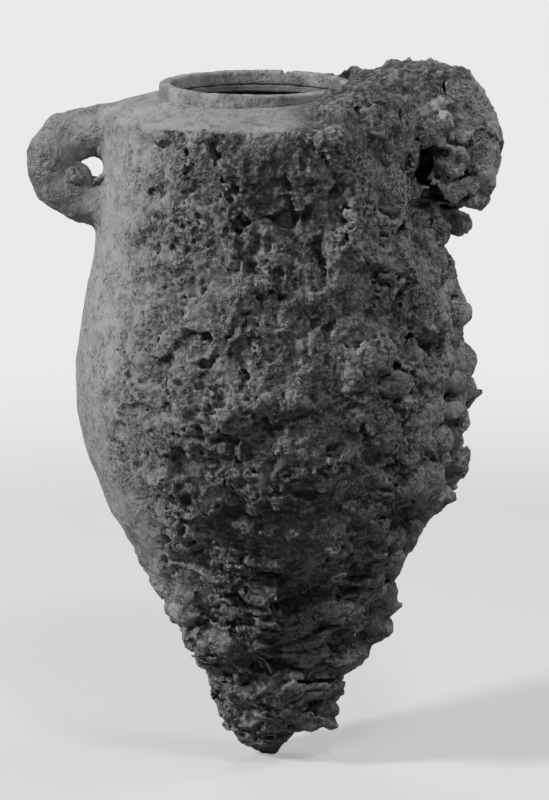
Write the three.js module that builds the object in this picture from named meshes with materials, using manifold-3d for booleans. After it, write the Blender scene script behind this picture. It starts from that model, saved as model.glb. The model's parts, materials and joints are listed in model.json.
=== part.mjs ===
// A sharp-shouldered transport jar of fired clay, raised from the sea with the lime crust that grew on it.
// Millimetres, +Z up. The origin is the lowest point of the foot, on the jar's axis. The front is -Y, and
// the two ears stand out along -X (nearly clean) and +X (buried in crust). Angles run from the front
// towards +X.
import * as THREE from "three";
import { mergeVertices } from "three/addons/utils/BufferGeometryUtils.js";
import Module from "manifold-3d";

// Driving sizes.
// Heights of the clay are measured from the clay tip, which stands FOOT_CRUST_UNDER above the origin.
const FOOT_CRUST_UNDER = 13;
const WALL_THICKNESS = 9;
// Each rise is the height of one station of the wall above the station under it.
const TIP_RADIUS = 9;
const FOOT_RISE = 42;
const FOOT_RADIUS = 24;
const CONE_RISE = 80;
const CONE_RADIUS = 68;
const HIP_RISE = 84;
const HIP_RADIUS = 118;
const BELLY_RISE = 79;
const BELLY_RADIUS = 134.5;
const WAIST_RISE = 135;
const WAIST_RADIUS = 113.5;
const SHOULDER_RISE = 51;
const SHOULDER_RADIUS = 112;

const SHOULDER_THICKNESS = 8;
const SHOULDER_LIP = 1.6; // how far the carinated edge stands past the wall
const SHOULDER_SEAT = 6; // how far its flat underside reaches inside the wall
const SHOULDER_LEDGE = 1; // how far its top stands out past the rim
const COLLAR_RISE = 12.5; // from the carinated edge up to the foot of the rim
const RIM_OUTER_RADIUS = 72.5;
const RIM_WIDTH = 9;
const RIM_HEIGHT = 7.2;
const RIM_ROUNDING = 1.8;
const RIM_CHIP_ANGLE = 163;
const RIM_CHIP_WIDTH = 7;
const RIM_CHIP_DEPTH = 3;
const LID_SPACE_HEIGHT = 80;

// The wall was thrown in three sections and luted together this far above the cone and the belly stations.
const LOWER_LUTE_RISE = 18;
const UPPER_LUTE_RISE = 15;

const TOE_PLUG_HEIGHT = 46; // the solid clay that closes the bottom of the thrown wall
const TOE_SPIGOT_HEIGHT = 12;
const TOE_SPIGOT_RADIUS = 12;

const HANDLE_ROD_RADIUS = 15;
const HANDLE_GAP_DEPTH = 28; // the open loop, from the wall to the inside of the rod
const HANDLE_GAP_HEIGHT = 19;
const HANDLE_DROP = 1; // from the carinated edge down to the top of the upper arm
// The line that the rod follows: shares of its reach out from the wall, and of the loop's height above its
// middle. Both of its ends stand in the wall.
const HANDLE_LINE = [
  [0, 0.52],
  [0.4, 0.52],
  [0.93, 0.3],
  [0.975, -0.16],
  [0.45, -0.5],
  [0, -0.62],
];

const CLEARANCE = 0.3; // between pieces that touch on the real jar

// Crust thickness over the clay, by angle (degrees) and by a factor that changes with height.
const CRUST_BY_ANGLE = [
  [-125, 5],
  [-62, 5],
  [-30, 6],
  [0, 8],
  [35, 13],
  [68, 22],
  [100, 24],
  [145, 15],
  [190, 9],
  [235, 5],
];
const CRUST_BY_HEIGHT = [
  [20, 1.35],
  [90, 1.4],
  [180, 1.2],
  [290, 1.0],
  [400, 0.85],
  [480, 0.8],
];
const CRUST_RELIEF = 0.16; // how much the plates swell and sink, as a share of their own thickness
// Two waves whose product swells the plates: how many go round the jar, and how fast each climbs, in
// millimetres a radian.
const CRUST_SWELLS = { round: [9, 4], climb: [23, 19] };
// The cracks between plates: how far they wander up or down, how many degrees to the side for each of those
// millimetres, how many waves go round the jar, and how fast the upright ones climb, in millimetres a
// radian.
const CRACKS = { wander: 5, sidewaysShare: 0.5, round: 5, roundUnder: 6, climb: 17 };
// The crust's bands, by the heights of the cracks between them.
const FOOT_CRACK = 38;
const LOWER_CRACK_RISE = 23; // above the cone station
const UPPER_CRACK_RISE = 30; // above the belly station
const SHOULDER_CRACK_DROP = 2; // below the shoulder
const CRUST_COLUMNS = {
  left: [-125, -62],
  front_left: [-62, -6],
  front: [-6, 50],
  right: [50, 112],
  back_right: [112, 175],
  back: [175, 235],
};
const BARE_BANDS_OF_LEFT = ["waist"]; // the left flank keeps only a lime film above the belly
const PLATE_STEPS = 5;
const PLATE_FITS = 4; // rounds in which a point of a plate settles between its wandering cracks

// The foot's crust: facets, and how wide its underside is and how soon it is full, as shares.
const FOOT_CRUST = { steps: 20, rows: 6, underside: 0.3, fullAt: 0.625 };

// The shoulder's crust: its two ends in degrees, its thickness, how far it hangs over the edge, its facets,
// and the shares of its thickness near the rim and at its two ends.
const SHOULDER_CRUST = {
  from: 20,
  to: 158,
  thickness: 12,
  overEdge: 7,
  steps: 10,
  columns: 5,
  nearRim: 0.45,
  towardEdge: 0.9,
  atEnds: 0.35,
};
const SHOULDER_SWELLS = { round: 1.9, out: 2.3 }; // radians of swell for each facet

// Round growths on the plates: angle, height above the clay tip, and radii outwards, sideways and upwards.
const NODULES = [
  ["nodule_waist_right", 84, 366, 15, 15, 13],
  ["nodule_belly_front_right", 62, 330, 17, 20, 18],
  ["nodule_belly_right_upper", 93, 324, 16, 17, 15],
  ["nodule_belly_right_middle", 80, 290, 16, 16, 18],
  ["nodule_belly_right_lower", 97, 262, 15, 18, 16],
  ["nodule_hip_right_upper", 78, 246, 14, 15, 15],
  ["nodule_hip_right_middle", 90, 214, 17, 17, 18],
  ["nodule_hip_front_right", 54, 172, 15, 18, 14],
  ["nodule_cone_right_upper", 86, 112, 18, 17, 22],
  ["nodule_cone_right_lower", 78, 68, 15, 15, 16],
  ["nodule_back_upper", 150, 318, 15, 19, 17],
  ["nodule_back_lower", 138, 196, 14, 16, 15],
];
const NODULE_SINK = 0.45; // depth of a nodule's middle under the crust, as a share of its outward radius
// How much a round lump swells and sinks, as a share, and how many radians its waves run across it.
const LUMP_SWELLS = { relief: 0.09, across: 5, up: 4 };

// Masses round the right ear: name, x, y, z from the middle of the handle's loop, and radii along x, y, z.
const EAR_MASSES = [
  ["ear_crust_outer", 19, 2, 14, 31, 35, 47],
  ["ear_crust_roof", -20, 0, 55, 60, 44, 27],
  ["ear_lobe_front_upper", -9, -29, 22, 15, 14, 15],
  ["ear_lobe_front_lower", 4, -33, -8, 13, 12, 17],
  ["ear_crust_back", -10, 26, 0, 20, 16, 27],
  ["ear_ball_under", 9, -6, -48, 14, 14, 14],
];
// The cave that the crust has left open in front of the right loop. It ends behind the loop's middle.
const EAR_CAVE = { halfWidth: 8, halfHeight: 8, offWall: 2, behindMiddle: 4, reach: 80, sides: 10 };

const LEFT_EAR_LUMP = { out: 12, forward: 3, sink: 4.2, radii: [6.5, 7.8, 6.5] };
const WORM_TUBE_RADIUS = 2;
const WORM_CURL_START = 0.45; // radius at the inner end of a curl, as a share of the curl's own
// Curls of worm tube: name, angle, height above the clay tip, radius of the curl and its share of a turn.
const WORM_CURLS = [
  ["worm_tube_curl_upper", 38, 128, 9, 0.8],
  ["worm_tube_curl_lower", 47, 108, 11, 0.75],
];
// The shell on edge: its place, its size, the two ends of its curve in half turns, how far it runs into the
// crust and how deep its middle lies there, as shares of its radius, and its tilt in radians.
const SHELL = {
  angle: -2,
  height: 62,
  radius: 15,
  thickness: 2.4,
  from: 0.15,
  to: 0.95,
  depth: 1.3,
  sink: 0.45,
  tilt: 0.5,
};

const SHELL_STEPS = 8;
const WORM_TUBE_STEPS = 18;
const WORM_TUBE_SIDES = 3; // flats round half of the tube
const WORM_TUBE_SINK = 0.6; // how far above the crust the tube's middle lies, as a share of its radius

const LATHE_STEPS = 40;
const SECTION_ROWS = 4; // rows of facets up each section of the wall
const PLUG_ROWS = 2;
const ROD_STEPS = 16;
const ROD_SIDES = 6; // flats round half of the rod

const wasm = await Module();
wasm.setup();

// Small geometry helpers.
const degrees = THREE.MathUtils.degToRad;

/** A smooth curve through stations [at, value], level beyond its ends. */
function smoothThrough(stations) {
  const slopes = stations.map((_, i) => {
    const before = stations[Math.max(i - 1, 0)];
    const after = stations[Math.min(i + 1, stations.length - 1)];
    return (after[1] - before[1]) / (after[0] - before[0]);
  });
  return (at) => {
    const x = THREE.MathUtils.clamp(at, stations[0][0], stations.at(-1)[0]);
    const i = Math.max(0, stations.findLastIndex((s) => s[0] <= x));
    if (i === stations.length - 1) return stations[i][1];
    const [x0, y0] = stations[i];
    const [x1, y1] = stations[i + 1];
    const span = x1 - x0;
    const t = (x - x0) / span;
    const rising = t * t * (3 - 2 * t);
    const leaving = t * (1 - t) * (1 - t) * span * slopes[i];
    const arriving = t * t * (t - 1) * span * slopes[i + 1];
    return y0 + (y1 - y0) * rising + leaving + arriving;
  };
}

/** A point at an angle from the front, a radius and a height. */
function around(angle, radius, z) {
  return new THREE.Vector3(radius * Math.sin(angle), -radius * Math.cos(angle), z);
}

/** The closed solid of a geometry. */
function solidOf(geometry) {
  const bare = geometry.clone();
  bare.deleteAttribute("normal");
  bare.deleteAttribute("uv");
  const merged = mergeVertices(bare, 1e-4);
  return new wasm.Manifold(
    new wasm.Mesh({
      numProp: 3,
      vertProperties: new Float32Array(merged.attributes.position.array),
      triVerts: new Uint32Array(merged.index.array),
    }),
  );
}

/** The geometry of a solid. */
function geometryOf(solid) {
  const mesh = solid.getMesh();
  const geometry = new THREE.BufferGeometry();
  const positions = new Float32Array(mesh.numVert * 3);
  for (let i = 0; i < mesh.numVert; i++) {
    positions.set(mesh.vertProperties.subarray(i * mesh.numProp, i * mesh.numProp + 3), i * 3);
  }
  geometry.setAttribute("position", new THREE.BufferAttribute(positions, 3));
  geometry.setIndex(new THREE.BufferAttribute(mesh.triVerts, 1));
  const faceted = geometry.toNonIndexed();
  faceted.computeVertexNormals();
  return faceted;
}

/** A round solid from its outline, a closed loop of [radius, height] that runs up its outer side first. */
function turned(outline) {
  const loop = [...outline, outline[0]].map(([r, z]) => new THREE.Vector2(Math.max(r, 0), z));
  const onAxis = outline[0][0] === 0;
  const geometry = new THREE.LatheGeometry(onAxis ? loop.slice(0, -1) : loop, LATHE_STEPS);
  geometry.rotateX(Math.PI / 2);
  return solidOf(geometry);
}

/** One solid from many. */
function joined(solids) {
  return solids.reduce((all, next) => all.add(next));
}

/** A solid without what others fill. Only its largest piece is kept, without slivers parted by rounding. */
function clearOf(solid, others) {
  const cut = others.reduce((rest, other) => rest.subtract(other), solid);
  const rounded = new wasm.Manifold(cut.getMesh());
  return rounded.decompose().sort((a, b) => b.volume() - a.volume())[0];
}

// The thrown clay.
const coneHeight = FOOT_RISE + CONE_RISE;
const hipHeight = coneHeight + HIP_RISE;
const bellyHeight = hipHeight + BELLY_RISE;
const waistHeight = bellyHeight + WAIST_RISE;
const shoulderHeight = waistHeight + SHOULDER_RISE;
const wallOutline = smoothThrough([
  [0, TIP_RADIUS],
  [FOOT_RISE, FOOT_RADIUS],
  [coneHeight, CONE_RADIUS],
  [hipHeight, HIP_RADIUS],
  [bellyHeight, BELLY_RADIUS],
  [waistHeight, WAIST_RADIUS],
  [shoulderHeight, SHOULDER_RADIUS],
]);
const clayTip = FOOT_CRUST_UNDER;
const shoulderEdge = clayTip + shoulderHeight;
const wallTop = shoulderEdge - CLEARANCE;
const rimFoot = shoulderEdge + SHOULDER_THICKNESS + COLLAR_RISE;
const rimTop = rimFoot + CLEARANCE + RIM_HEIGHT;
const mouthRadius = RIM_OUTER_RADIUS - RIM_WIDTH;
const plugTop = clayTip + TOE_PLUG_HEIGHT;

/** Outer radius of the wall at a height above the origin. */
const wallRadius = (z) => wallOutline(z - clayTip);

/** The same radius with a layer of a given thickness on it, measured square to the wall. */
function overWall(z, thickness) {
  const slope = (wallRadius(z + 1) - wallRadius(z - 1)) / 2;
  return wallRadius(z) + thickness * Math.hypot(1, slope);
}

/** Evenly spaced heights from low to high, both included. */
function heights(low, high, steps) {
  return Array.from({ length: steps + 1 }, (_, i) => low + ((high - low) * i) / steps);
}

const lowerLute = clayTip + coneHeight + LOWER_LUTE_RISE;
const upperLute = clayTip + bellyHeight + UPPER_LUTE_RISE;
const wallSections = {
  wall_cone: [plugTop + CLEARANCE, lowerLute],
  wall_belly: [lowerLute + CLEARANCE, upperLute],
  wall_waist: [upperLute + CLEARANCE, wallTop],
};

/** One section of the wall: a thin round shell, open above and below. */
function wallSection(name, grow) {
  const [low, high] = wallSections[name];
  const rows = heights(low - grow, high + grow, SECTION_ROWS);
  const outside = rows.map((z) => [overWall(z, grow), z]);
  const inside = rows.map((z) => [overWall(z, -WALL_THICKNESS - grow), z]).reverse();
  return turned([...outside, ...inside]);
}

/** The whole wall, for cutting what lies against it. */
function wallCutter() {
  return joined(Object.keys(wallSections).map((name) => wallSection(name, CLEARANCE)));
}

/** The plug that closes the foot, with the spigot that keys it into the wall. */
function toePlug(grow) {
  const rows = heights(clayTip, plugTop, PLUG_ROWS);
  const side = rows.map((z) => [overWall(z, grow), z]);
  side[0][1] -= grow;
  side.at(-1)[1] += grow;
  const spigotTop = plugTop + TOE_SPIGOT_HEIGHT + grow;
  const spigot = [
    [TOE_SPIGOT_RADIUS + grow, plugTop + grow],
    [TOE_SPIGOT_RADIUS + grow, spigotTop],
  ];
  return turned([[0, clayTip - grow], ...side, ...spigot, [0, spigotTop]]);
}

/** The shallow cone that closes the jar in to the rim, ending in the sharp carinated edge. */
function shoulder(grow) {
  const edgeRadius = wallRadius(shoulderEdge) + SHOULDER_LIP;
  const under = wallRadius(shoulderEdge) - WALL_THICKNESS;
  return turned([
    [edgeRadius - SHOULDER_LIP, shoulderEdge - grow],
    [edgeRadius + grow, shoulderEdge + SHOULDER_LIP],
    [edgeRadius + grow, shoulderEdge + SHOULDER_THICKNESS - SHOULDER_LIP],
    [edgeRadius - SHOULDER_LIP, shoulderEdge + SHOULDER_THICKNESS + grow],
    [RIM_OUTER_RADIUS + SHOULDER_LEDGE, rimFoot + grow],
    [mouthRadius - grow, rimFoot + grow],
    [mouthRadius - grow, rimFoot - SHOULDER_THICKNESS],
    [under - SHOULDER_SEAT, shoulderEdge - grow],
  ]);
}

/** The rim: a low band with a flat top, where a lid or a stopper would sit. */
function rim(grow) {
  const low = rimFoot + CLEARANCE - grow;
  const outer = RIM_OUTER_RADIUS + grow;
  const inner = mouthRadius - grow;
  const high = rimTop + grow;
  return turned([
    [outer - RIM_ROUNDING, low],
    [outer, low + RIM_ROUNDING],
    [outer, high - RIM_ROUNDING],
    [outer - RIM_ROUNDING, high],
    [inner + RIM_ROUNDING, high],
    [inner, high - RIM_ROUNDING],
    [inner, low],
  ]);
}

/** The wedge that a knock has taken out of the rim. */
function rimChip() {
  const half = RIM_CHIP_WIDTH / 2;
  const wedge = new THREE.CylinderGeometry(half, half, RIM_WIDTH * 2, 3);
  wedge.scale(1, 1, RIM_CHIP_DEPTH / half);
  wedge.rotateZ(degrees(RIM_CHIP_ANGLE));
  const at = around(degrees(RIM_CHIP_ANGLE), RIM_OUTER_RADIUS - RIM_WIDTH / 2, rimTop);
  wedge.translate(at.x, at.y, at.z);
  return solidOf(wedge);
}

/** The space above and round the rim that the crust keeps clear, so that a lid still seats on the rim. */
function lidSpace() {
  const radius = RIM_OUTER_RADIUS + CLEARANCE;
  const high = rimTop + LID_SPACE_HEIGHT;
  return turned([[0, rimFoot], [radius, rimFoot], [radius, high], [0, high]]);
}

// The ears.
const handleReach = HANDLE_GAP_DEPTH + HANDLE_ROD_RADIUS;
const handleSpan = HANDLE_GAP_HEIGHT + 2 * HANDLE_ROD_RADIUS;
const handleUpper = shoulderEdge + SHOULDER_THICKNESS - HANDLE_DROP - HANDLE_ROD_RADIUS;
const handleLower = handleUpper - handleSpan;
const handleMiddle = (handleUpper + handleLower) / 2;
const handleWall = wallRadius(handleMiddle);
const loopMiddle = new THREE.Vector3(handleWall + handleReach / 2, 0, handleMiddle);

/** The rod of one ear, on the +X side, bent into a loop whose two ends stand in the wall. */
function earRod(grow) {
  const line = HANDLE_LINE.map(([out, up]) => {
    return new THREE.Vector3(handleWall + handleReach * out, 0, handleMiddle + handleSpan * up);
  });
  line[0].x -= WALL_THICKNESS / 2;
  line.at(-1).x -= WALL_THICKNESS / 2;
  const section = new THREE.Shape();
  section.absarc(0, 0, HANDLE_ROD_RADIUS + grow, 0, Math.PI * 2);
  const path = new THREE.CatmullRomCurve3(line);
  const options = { steps: ROD_STEPS, curveSegments: ROD_SIDES, extrudePath: path };
  return solidOf(new THREE.ExtrudeGeometry(section, options));
}

/** One ear, trimmed where it meets the wall and the shoulder. */
function ear() {
  return clearOf(earRod(0), [wallCutter(), shoulder(CLEARANCE)]);
}

/** The cave in the crust in front of the right loop, as the rod that cuts it. */
function earCave() {
  const { halfWidth, halfHeight, offWall, behindMiddle, reach, sides } = EAR_CAVE;
  const depth = reach + behindMiddle;
  const rod = new THREE.CylinderGeometry(1, 1, depth, sides);
  rod.scale(halfWidth, 1, halfHeight);
  rod.translate(handleWall + halfWidth + offWall, behindMiddle - depth / 2, loopMiddle.z);
  return solidOf(rod);
}

// The crust.
const footCrack = clayTip + FOOT_CRACK;
const lowerCrack = clayTip + coneHeight + LOWER_CRACK_RISE;
const upperCrack = clayTip + bellyHeight + UPPER_CRACK_RISE;
const shoulderCrack = shoulderEdge - SHOULDER_CRACK_DROP;
const crustBands = {
  cone: [footCrack, lowerCrack],
  belly: [lowerCrack, upperCrack],
  waist: [upperCrack, shoulderCrack],
};
const crustAtAngle = smoothThrough(CRUST_BY_ANGLE);
const crustAtHeight = smoothThrough(CRUST_BY_HEIGHT);
const firstAngle = CRUST_BY_ANGLE[0][0];

/** Crust thickness at an angle in radians and a height above the origin. */
function crustThickness(angle, z) {
  const fromFirst = THREE.MathUtils.euclideanModulo(THREE.MathUtils.radToDeg(angle) - firstAngle, 360);
  const turn = fromFirst + firstAngle;
  const { round, climb } = CRUST_SWELLS;
  const swell = Math.sin(angle * round[0] + z / climb[0]) * Math.cos(z / climb[1] - angle * round[1]);
  return crustAtAngle(turn) * crustAtHeight(z) * (1 + CRUST_RELIEF * swell);
}

/** The angle of the upright crack at a plate's side, at a height. */
function crackBeside(angle, z) {
  const sideways = CRACKS.wander * CRACKS.sidewaysShare;
  return angle + degrees(sideways * Math.sin(z / CRACKS.climb + angle * CRACKS.round));
}

/** The height of the level crack under a plate, at an angle. */
function crackUnder(low, angle) {
  return low + CRACKS.wander * Math.sin(angle * CRACKS.roundUnder + low);
}

/** A plate of crust between two angles and two heights, on the wall. */
function crustPlate(column, band, grow) {
  const [first, last] = CRUST_COLUMNS[column].map(degrees);
  const [low, high] = crustBands[band];
  const edge = (z, angle) => (z === footCrack || z === shoulderCrack ? z : crackUnder(z, angle));
  const gap = CLEARANCE / 2 - grow;
  const rows = PLATE_STEPS + 1;
  const points = [];
  for (let i = 0; i < rows; i++) {
    for (let j = 0; j < rows; j++) {
      let z = low + ((high - low) * j) / PLATE_STEPS;
      let angle = first;
      for (let fit = 0; fit < PLATE_FITS; fit++) {
        const across = gap / wallRadius(z);
        const start = crackBeside(first, z) + across;
        const end = crackBeside(last, z) - across;
        angle = start + ((end - start) * i) / PLATE_STEPS;
        const bottom = edge(low, angle) + gap;
        const top = edge(high, angle) - gap;
        z = bottom + ((top - bottom) * j) / PLATE_STEPS;
      }
      points.push([angle, z]);
    }
  }
  const outer = points.map(([angle, z]) =>
    around(angle, wallRadius(z) + crustThickness(angle, z) + grow, z),
  );
  const inner = points.map(([angle, z]) => around(angle, wallRadius(z) - WALL_THICKNESS / 2, z));
  return slab(outer, inner, rows, rows);
}

/** A closed slab between two grids of points, each rows x columns. */
function slab(outer, inner, rows, columns) {
  const triangles = [];
  const count = outer.length;
  const at = (i, j) => i * columns + j;
  const quad = (a, b, c, d) => triangles.push(a, b, c, a, c, d);
  for (let i = 0; i + 1 < rows; i++) {
    for (let j = 0; j + 1 < columns; j++) {
      quad(at(i, j), at(i + 1, j), at(i + 1, j + 1), at(i, j + 1));
      quad(count + at(i, j), count + at(i, j + 1), count + at(i + 1, j + 1), count + at(i + 1, j));
    }
  }
  // The side quads are all split from the outer point of the lower index, so that two neighbours match.
  const side = (a, b) => quad(a, count + a, count + b, b);
  const farSide = (a, b) => triangles.push(a, count + b, count + a, a, b, count + b);
  for (let i = 0; i + 1 < rows; i++) {
    side(at(i, 0), at(i + 1, 0));
    farSide(at(i, columns - 1), at(i + 1, columns - 1));
  }
  for (let j = 0; j + 1 < columns; j++) {
    side(at(rows - 1, j), at(rows - 1, j + 1));
    farSide(at(0, j), at(0, j + 1));
  }
  const geometry = new THREE.BufferGeometry().setFromPoints([...outer, ...inner]);
  geometry.setIndex(triangles);
  return solidOf(geometry);
}

/** The crust that wraps the foot and stands under its tip. */
function footCrust(grow) {
  const { steps: angles, rows, underside, fullAt } = FOOT_CRUST;
  const top = footCrack - CLEARANCE / 2 + grow;
  const points = [];
  for (let j = 0; j <= rows; j++) {
    const share = j / rows;
    const z = j === 0 ? -grow : top * share;
    for (let i = 0; i < angles; i++) {
      const angle = degrees(firstAngle) + (2 * Math.PI * i) / angles;
      const full = wallRadius(Math.max(z, clayTip)) + crustThickness(angle, z);
      const rounding = Math.sqrt(1 - (1 - Math.min(share / fullAt, 1)) ** 2);
      points.push(around(angle, full * (underside + (1 - underside) * rounding) + grow, z));
    }
  }
  points.push(new THREE.Vector3(0, 0, -grow), new THREE.Vector3(0, 0, top));
  const triangles = [];
  const at = (i, j) => j * angles + (i % angles);
  for (let i = 0; i < angles; i++) {
    for (let j = 0; j < rows; j++) {
      triangles.push(at(i, j), at(i + 1, j), at(i + 1, j + 1), at(i, j), at(i + 1, j + 1), at(i, j + 1));
    }
    triangles.push(points.length - 2, at(i + 1, 0), at(i, 0));
    triangles.push(points.length - 1, at(i, rows), at(i + 1, rows));
  }
  const geometry = new THREE.BufferGeometry().setFromPoints(points);
  geometry.setIndex(triangles);
  return solidOf(geometry);
}

/** The crust on the right half of the shoulder, from the rim to past the carinated edge. */
function shoulderCrust(grow) {
  const { from, to, thickness, overEdge, steps, columns } = SHOULDER_CRUST;
  const { nearRim, towardEdge, atEnds } = SHOULDER_CRUST;
  const inner = RIM_OUTER_RADIUS - RIM_ROUNDING;
  const outer = wallRadius(shoulderEdge) + SHOULDER_LIP + overEdge + grow;
  const tops = [];
  const seats = [];
  for (let i = 0; i <= steps; i++) {
    const angle = degrees(from + ((to - from) * i) / steps);
    const fade = Math.sin((Math.PI * (i + 1)) / (steps + 2));
    for (let j = 0; j < columns; j++) {
      const share = j / (columns - 1);
      const radius = inner + (outer - inner) * share;
      const fall = (COLLAR_RISE * (radius - RIM_OUTER_RADIUS)) / (SHOULDER_RADIUS - RIM_OUTER_RADIUS);
      const swell = 1 + CRUST_RELIEF * Math.sin(i * SHOULDER_SWELLS.round + j * SHOULDER_SWELLS.out);
      const full = thickness * swell * (nearRim + towardEdge * share * fade);
      const height = full * (atEnds + (1 - atEnds) * fade);
      tops.push(around(angle, radius, rimFoot - fall + height + grow));
      seats.push(around(angle, radius, shoulderEdge + CLEARANCE - grow));
    }
  }
  return slab(seats, tops, steps + 1, columns);
}

/** A round lump, given its middle and its three radii. */
function lump(middle, radii, angle, grow) {
  const ball = new THREE.IcosahedronGeometry(1, 2);
  const place = ball.getAttribute("position");
  for (let i = 0; i < place.count; i++) {
    const p = new THREE.Vector3().fromBufferAttribute(place, i);
    const wave = Math.sin(p.x * LUMP_SWELLS.across + middle.z) * Math.cos(p.z * LUMP_SWELLS.up + middle.x);
    const swell = 1 + LUMP_SWELLS.relief * wave;
    const [x, y, z] = radii.map((radius, axis) => p.getComponent(axis) * (radius * swell + grow));
    place.setXYZ(i, x, y, z);
  }
  ball.rotateZ(angle);
  ball.translate(middle.x, middle.y, middle.z);
  return solidOf(ball);
}

/** A nodule on the crust. Its first radius points outwards. */
function nodule([, degreesRound, height, out, side, up], grow) {
  const angle = degrees(degreesRound);
  const z = clayTip + height;
  const radius = wallRadius(z) + crustThickness(angle, z) - NODULE_SINK * out;
  return lump(around(angle, radius, z), [out, side, up], angle - Math.PI / 2, grow);
}

/** One of the masses round the right ear. */
function earMass([, x, y, z, ...radii], grow) {
  const middle = loopMiddle.clone().add(new THREE.Vector3(x, y, z));
  return lump(middle, radii, 0, grow);
}

/** A lime tube that a worm built, curled flat on the crust. */
function wormTube([, degreesRound, height, curlRadius, turns]) {
  const angle = degrees(degreesRound);
  const z = clayTip + height;
  const points = [];
  for (let i = 0; i <= WORM_TUBE_STEPS; i++) {
    const share = i / WORM_TUBE_STEPS;
    const turn = share * turns * 2 * Math.PI;
    const radius = curlRadius * (WORM_CURL_START + (1 - WORM_CURL_START) * share);
    const up = z + radius * Math.sin(turn);
    const sideways = angle + (radius * Math.cos(turn)) / wallRadius(z);
    const seat = wallRadius(up) + crustThickness(sideways, up);
    points.push(around(sideways, seat + WORM_TUBE_RADIUS * WORM_TUBE_SINK, up));
  }
  const section = new THREE.Shape();
  section.absarc(0, 0, WORM_TUBE_RADIUS, 0, Math.PI * 2);
  const path = new THREE.CatmullRomCurve3(points);
  const options = { steps: WORM_TUBE_STEPS, curveSegments: WORM_TUBE_SIDES, extrudePath: path };
  return solidOf(new THREE.ExtrudeGeometry(section, options));
}

/** A half shell cemented on edge in the crust low on the front. */
function shellPiece() {
  const { angle, height, radius, thickness, tilt } = SHELL;
  const [start, end] = [SHELL.from * Math.PI, SHELL.to * Math.PI];
  const outline = new THREE.Shape();
  outline.absarc(0, 0, radius, start, end);
  outline.absarc(0, 0, radius - thickness, end, start, true);
  const depth = radius * SHELL.depth;
  const options = { depth, steps: 1, curveSegments: SHELL_STEPS, bevelEnabled: false };
  const shell = new THREE.ExtrudeGeometry(outline, options);
  shell.rotateX(Math.PI / 2);
  shell.rotateY(tilt);
  const z = clayTip + height;
  const turn = degrees(angle);
  const seat = wallRadius(z) + crustThickness(turn, z);
  shell.rotateZ(turn);
  const at = around(turn, seat - radius * SHELL.sink, z);
  shell.translate(at.x, at.y, at.z);
  return solidOf(shell);
}

/** The lump that grew inside the left ear, on its lower arm. */
function leftEarLump() {
  const { out, forward, sink, radii } = LEFT_EAR_LUMP;
  const armTop = handleLower + HANDLE_ROD_RADIUS;
  return lump(new THREE.Vector3(-(handleWall + out), -forward, armTop + radii[2] - sink), radii, 0, 0);
}

// Finishes.
const clay = new THREE.MeshStandardMaterial({ color: 0x9a9a98, roughness: 0.85, metalness: 0 });
const limedClay = new THREE.MeshStandardMaterial({ color: 0xb4b5b4, roughness: 0.8, metalness: 0 });
const crust = new THREE.MeshStandardMaterial({ color: 0x6f7170, roughness: 0.95, metalness: 0 });
const growth = new THREE.MeshStandardMaterial({ color: 0x818382, roughness: 0.9, metalness: 0 });
const shellLime = new THREE.MeshStandardMaterial({ color: 0xa8a9a6, roughness: 0.7, metalness: 0 });

/** A named piece of the jar. */
function piece(name, solid, material) {
  const mesh = new THREE.Mesh(geometryOf(solid), material);
  mesh.name = name;
  return mesh;
}

// The assembly.
const jar = new THREE.Group();
const pot = new THREE.Group();
const growths = new THREE.Group();
jar.add(pot, growths);

const rightEar = ear();
const leftEar = piece("handle_left", rightEar, limedClay);
leftEar.rotation.z = Math.PI;
pot.add(
  ...Object.keys(wallSections).map((name) => piece(name, wallSection(name, 0), clay)),
  piece("toe_plug", clearOf(toePlug(0), [wallCutter()]), clay),
  piece("shoulder", shoulder(0), limedClay),
  piece("rim", rim(0).subtract(rimChip()), limedClay),
  piece("handle_right", rightEar, clay),
  leftEar,
);

const clayUnder = [wallCutter(), toePlug(CLEARANCE)];
const plates = Object.keys(CRUST_COLUMNS).flatMap((column) =>
  Object.keys(crustBands)
    .filter((band) => column !== "left" || !BARE_BANDS_OF_LEFT.includes(band))
    .map((band) => [column, band]),
);
for (const [column, band] of plates) {
  const cutters = band === "waist" ? [...clayUnder, earRod(CLEARANCE), earCave()] : clayUnder;
  growths.add(piece(`crust_${band}_${column}`, clearOf(crustPlate(column, band, 0), cutters), crust));
}
growths.add(piece("crust_foot", clearOf(footCrust(0), clayUnder), crust));

const grownPlates = joined(plates.map(([column, band]) => crustPlate(column, band, CLEARANCE)));
const clayAbove = [shoulder(CLEARANCE), rim(CLEARANCE), earRod(CLEARANCE)];
const settled = [...clayUnder, ...clayAbove, grownPlates, footCrust(CLEARANCE)];

growths.add(piece("crust_shoulder", clearOf(shoulderCrust(0), [...settled, lidSpace()]), crust));
settled.push(shoulderCrust(CLEARANCE));

for (const mass of EAR_MASSES) {
  growths.add(piece(mass[0], clearOf(earMass(mass, 0), [...settled, earCave(), lidSpace()]), growth));
  settled.push(earMass(mass, CLEARANCE));
}
for (const knob of NODULES) {
  growths.add(piece(knob[0], clearOf(nodule(knob, 0), settled), growth));
  settled.push(nodule(knob, CLEARANCE));
}
for (const curl of WORM_CURLS) {
  growths.add(piece(curl[0], clearOf(wormTube(curl), settled), shellLime));
}
growths.add(piece("shell_front", clearOf(shellPiece(), settled), shellLime));

const leftRod = earRod(CLEARANCE).rotate([0, 0, 180]);
growths.add(piece("ear_lump_left", clearOf(leftEarLump(), [...settled, leftRod]), growth));

export default jar;
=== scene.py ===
"""Looks for a sharp-shouldered transport jar raised from the sea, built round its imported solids.

The outer skin is grown as one field of distances, so that lumps, pits, caves and ears run into each other as they
do on the real jar, and is then parted into the pieces of lime film, crust and growth that the solids name.
The field is in millimetres, and the frame's metres begin where the meshes are made. Angles run from the front
(-Y) towards +X.
"""

import json
import math
from concurrent.futures import ThreadPoolExecutor
from functools import lru_cache

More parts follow.
